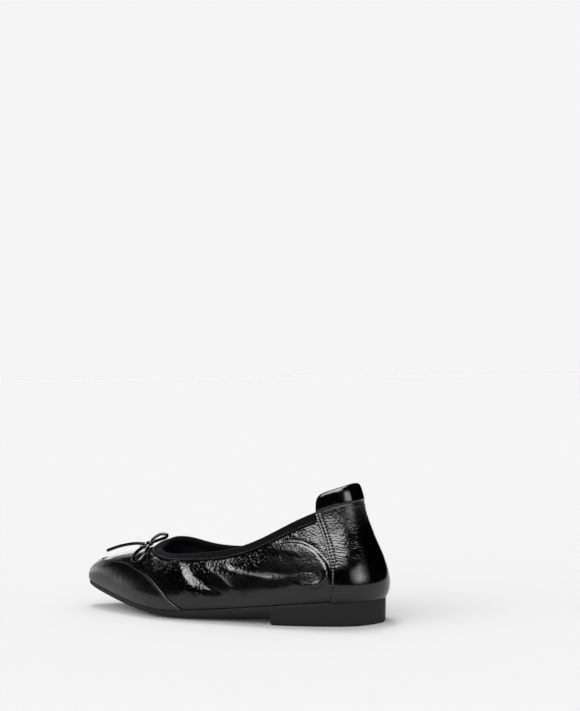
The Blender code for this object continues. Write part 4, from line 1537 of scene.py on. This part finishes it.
outsole = add_loft("moulded_sole", np.array(sole_sections), moulded_rubber, ["outsole"])
outsole.data.set_sharp_from_angle(angle=math.radians(SOLE_CREASE))
print(f"sole of {len(rows)} sections, {rows[-1][0] - rows[0][0]:.1f} mm long")

# %% [markdown]
# ## The insole
#
# Inside lies a thin sock of textile over foam. It shows only from above, as a dark footbed that rises a
# little at its rim, so it is a plate with a shallow dish and rounded edges.

# %% Sock
INSOLE = 2.2
INSOLE_GAP = 1.2
DISH = 0.7
SOCK_POINTS = 22
SOCK_STATIONS = 120
SOCK_RIM = 0.06
SOCK_RIM_DROP = 0.45
SOCK_CREASE = 60.0

sock_edges = edge_tables(-WALL - INSOLE_GAP)
sock_start = sock_edges[0][0, 0] + INSOLE_GAP / 2.0
sock_end = sock_edges[0][-1, 0] - INSOLE_GAP / 2.0
sock_sections = []
for along in bunched(sock_start, sock_end, SOCK_STATIONS):
    middle, half_width = width_at(along, sock_edges)
    low = float(seat_height(along)) + CLEAR
    span = np.linspace(-1.0, 1.0, SOCK_POINTS)
    across = middle + span * half_width
    rim = 1.0 - np.clip((np.abs(span) - 1.0 + SOCK_RIM) / SOCK_RIM, 0.0, 1.0) ** 2 * SOCK_RIM_DROP
    top = low + INSOLE * rim - DISH * (1.0 - span**2)
    upper_run = np.stack([np.full(SOCK_POINTS, along), across, top], -1)
    lower_run = np.stack([np.full(SOCK_POINTS, along), across, np.full(SOCK_POINTS, low)], -1)
    sock_sections.append(np.concatenate([upper_run, lower_run[::-1]]))
insole = add_loft("insole_sock", np.array(sock_sections), textile_lining, ["insole"])
insole.data.set_sharp_from_angle(angle=math.radians(SOCK_CREASE))
print(f"sock {sock_end - sock_start:.1f} mm long")

# %% [markdown]
# ## The studio
#
# Black patent leather shows nothing but its surroundings, so the studio is part of the look. The shoe
# stands on a pale paper floor under a pale sky with two soft lobes: a top light behind the shoe, towards
# the toe, which lays the shadow under the sole, and a wide fill from the front. The paper's grey is worked
# out from that light, so that the floor comes out as pale as the backdrop behind it. Angles are in degrees,
# as for the camera.

# %% Floor and sky
PAPER = 0.913
Lobe = namedtuple("Lobe", "name azimuth elevation focus strength")
LOBES = [
    Lobe("top light", 222.0, 67.0, 120.0, 34.0),
    Lobe("front fill", -30.0, 10.0, 4.0, 3.8),
]
FLOOR_SIZE = 12.0
FLOOR_CORNERS = [(-1.0, -1.0), (1.0, -1.0), (1.0, 1.0), (-1.0, 1.0)]


def floor_light(lobe):
    """What a lobe adds to the floor's brightness, summed over the sky degree by degree."""
    azimuths, elevations = np.meshgrid(np.arange(0.5, 360.0), np.arange(0.5, 90.0))
    facing = sky_way(azimuths, elevations) @ sky_way(lobe.azimuth, lobe.elevation)
    beam = np.maximum(facing, 0.0) ** lobe.focus
    area = np.cos(np.radians(elevations)) * math.radians(1.0) ** 2
    return lobe.strength * float((beam * np.sin(np.radians(elevations)) * area).sum()) / math.pi


floor_mesh = bpy.data.meshes.new("floor")
floor_mesh.from_pydata(
    [(FLOOR_SIZE * along, FLOOR_SIZE * across, 0.0) for along, across in FLOOR_CORNERS], [], [(0, 1, 2, 3)],
)
floor = bpy.data.objects.new("floor", floor_mesh)
bpy.context.scene.collection.objects.link(floor)
floor_paper, tree, shader = new_material("floor_paper", "#F5F5F5", 1.0)
tree.nodes.remove(shader)
light_on_floor = PAPER + sum(floor_light(lobe) for lobe in LOBES)
floor_albedo = PAPER / light_on_floor
paper = add_node(tree, "ShaderNodeBsdfDiffuse", {"Color": (floor_albedo, floor_albedo, floor_albedo, 1.0)})
tree.links.new(paper.outputs[0], tree.nodes["Material Output"].inputs["Surface"])
floor_mesh.materials.append(floor_paper)

world = bpy.data.worlds.new("studio_sky")
bpy.context.scene.world = world
world.use_nodes = True
tree = world.node_tree
heading = add_node(tree, "ShaderNodeTexCoord").outputs["Generated"]
sky = None
for lobe in LOBES:
    way = tuple(sky_way(lobe.azimuth, lobe.elevation))
    near = add_node(tree, "ShaderNodeVectorMath", {"operation": "DOT_PRODUCT", 1: way}, {0: heading})
    facing = add_node(tree, "ShaderNodeMath", {"operation": "MAXIMUM", 1: 0.0}, {0: near.outputs["Value"]})
    beam = add_node(tree, "ShaderNodeMath", {"operation": "POWER", 1: lobe.focus}, {0: facing.outputs[0]})
    links = {0: beam.outputs[0]}
    if sky is not None:
        links[2] = sky
    settings = {"operation": "MULTIPLY_ADD", 1: lobe.strength, 2: PAPER}
    sky = add_node(tree, "ShaderNodeMath", settings, links).outputs[0]
background = tree.nodes["Background"]
background.inputs["Color"].default_value = (1.0, 1.0, 1.0, 1.0)
tree.links.new(sky, background.inputs["Strength"])
world.cycles_visibility.glossy = False
print("floor albedo", round(floor_albedo, 3), "under", [lobe.name for lobe in LOBES])

# %% [markdown]
# What the film reflects is a second studio: dark cloth at the camera's side with softboxes above it, a
# strip beside the heel, a card off the toe, and white paper and one more softbox behind. It is drawn on a
# dome that only reflections see, because lamps of that size would also wash out the floor. A larger ball of
# plain pale paper, which only the camera sees, is the backdrop. It is as bright as the lit floor, so the
# two run together.

# %% Backdrop and reflection dome
DOME_RADIUS = 3.0
BACKDROP_RADIUS = 11.0


def add_dome(name, radius, material_name, to_camera):
    """A ball round the studio that only the camera or only reflections see; returns its material's nodes."""
    dome_mesh = bpy.data.meshes.new(name)
    draft = bmesh.new()
    bmesh.ops.create_icosphere(draft, subdivisions=4, radius=radius)
    draft.to_mesh(dome_mesh)
    draft.free()
    dome_mesh.shade_smooth()
    dome = bpy.data.objects.new(name, dome_mesh)
    bpy.context.scene.collection.objects.link(dome)
    dome.visible_camera = to_camera
    dome.visible_glossy = not to_camera
    dome.visible_diffuse = False
    dome.visible_transmission = False
    dome.visible_volume_scatter = False
    dome.visible_shadow = False
    cloth, tree, shader = new_material(material_name, "#000000", 1.0)
    cloth.cycles.emission_sampling = "NONE"
    tree.nodes.remove(shader)
    light = add_node(tree, "ShaderNodeEmission", {"Color": (1.0, 1.0, 1.0, 1.0), "Strength": PAPER})
    tree.links.new(light.outputs[0], tree.nodes["Material Output"].inputs["Surface"])
    dome_mesh.materials.append(cloth)
    return tree, light


add_dome("backdrop", BACKDROP_RADIUS, "backdrop_paper", True)
tree, light = add_dome("reflection_dome", DOME_RADIUS, "dome_cloth", False)
print("backdrop", BACKDROP_RADIUS, "m and dome", DOME_RADIUS, "m in radius")

# %% [markdown]
# Each panel is a soft-edged patch of the dome, given by its middle, half its size and the width of its soft
# edge in both angles, and its brightness. Soft edges matter here, since on patent leather a hard one shows
# as a line.

# %% Panels on the dome
Panel = namedtuple("Panel", "name azimuth half_wide soft_wide elevation half_tall soft_tall strength")
PANELS = [
    Panel("front softbox", 12.0, 40.0, 18.0, 51.0, 14.0, 7.0, 10.5),
    Panel("left softbox", -56.0, 26.0, 12.0, 63.0, 7.0, 6.0, 5.5),
    Panel("overhead softbox", 48.0, 112.0, 24.0, 81.0, 14.0, 8.0, 15.0),
    Panel("side strip", 76.0, 10.0, 34.0, 16.0, 8.5, 14.0, 7.2),
    Panel("left card", -94.0, 20.0, 16.0, 3.0, 9.0, 16.0, 1.8),
    Panel("paper sweep", 236.0, 30.0, 14.0, 4.0, 20.0, 14.0, PAPER),
    Panel("rear softbox", 217.0, 18.0, 12.0, 20.0, 12.0, 12.0, 2.1),
]

heading = add_node(tree, "ShaderNodeTexCoord").outputs["Object"]
heading = add_node(tree, "ShaderNodeVectorMath", {"operation": "NORMALIZE"}, {0: heading}).outputs["Vector"]
parts = add_node(tree, "ShaderNodeSeparateXYZ", {}, {"Vector": heading}).outputs
toward = add_node(tree, "ShaderNodeMath", {"operation": "MULTIPLY", 1: -1.0}, {0: parts["Y"]}).outputs[0]
azimuth = add_node(tree, "ShaderNodeMath", {"operation": "ARCTAN2"}, {0: parts["X"], 1: toward}).outputs[0]
elevation = add_node(tree, "ShaderNodeMath", {"operation": "ARCSINE"}, {0: parts["Z"]}).outputs[0]
total = None
for panel in PANELS:
    shares = []
    for angle, middle, half, soft in (
        (azimuth, panel.azimuth, panel.half_wide, panel.soft_wide),
        (elevation, panel.elevation, panel.half_tall, panel.soft_tall),
    ):
        settings = {"operation": "SUBTRACT", 1: math.radians(middle)}
        away = add_node(tree, "ShaderNodeMath", settings, {0: angle})
        settings = {"operation": "WRAP", 1: -math.pi, 2: math.pi}
        wrapped = add_node(tree, "ShaderNodeMath", settings, {0: away.outputs[0]})
        off = add_node(tree, "ShaderNodeMath", {"operation": "ABSOLUTE"}, {0: wrapped.outputs[0]})
        settings = {
            "interpolation_type": "SMOOTHSTEP", "To Min": 1.0, "To Max": 0.0,
            "From Min": math.radians(half - soft / 2.0), "From Max": math.radians(half + soft / 2.0),
        }
        share = add_node(tree, "ShaderNodeMapRange", settings, {"Value": off.outputs[0]})
        shares.append(share.outputs["Result"])
    both = add_node(tree, "ShaderNodeMath", {"operation": "MULTIPLY"}, {0: shares[0], 1: shares[1]})
    links = {0: both.outputs[0]}
    if total is not None:
        links[2] = total
    settings = {"operation": "MULTIPLY_ADD", 1: panel.strength, 2: 0.0}
    total = add_node(tree, "ShaderNodeMath", settings, links).outputs[0]
tree.links.new(total, light.inputs["Strength"])

bpy.context.scene.view_settings.view_transform = "Standard"
bpy.context.scene.view_settings.look = "None"
print("panels on the dome:", [panel.name for panel in PANELS])
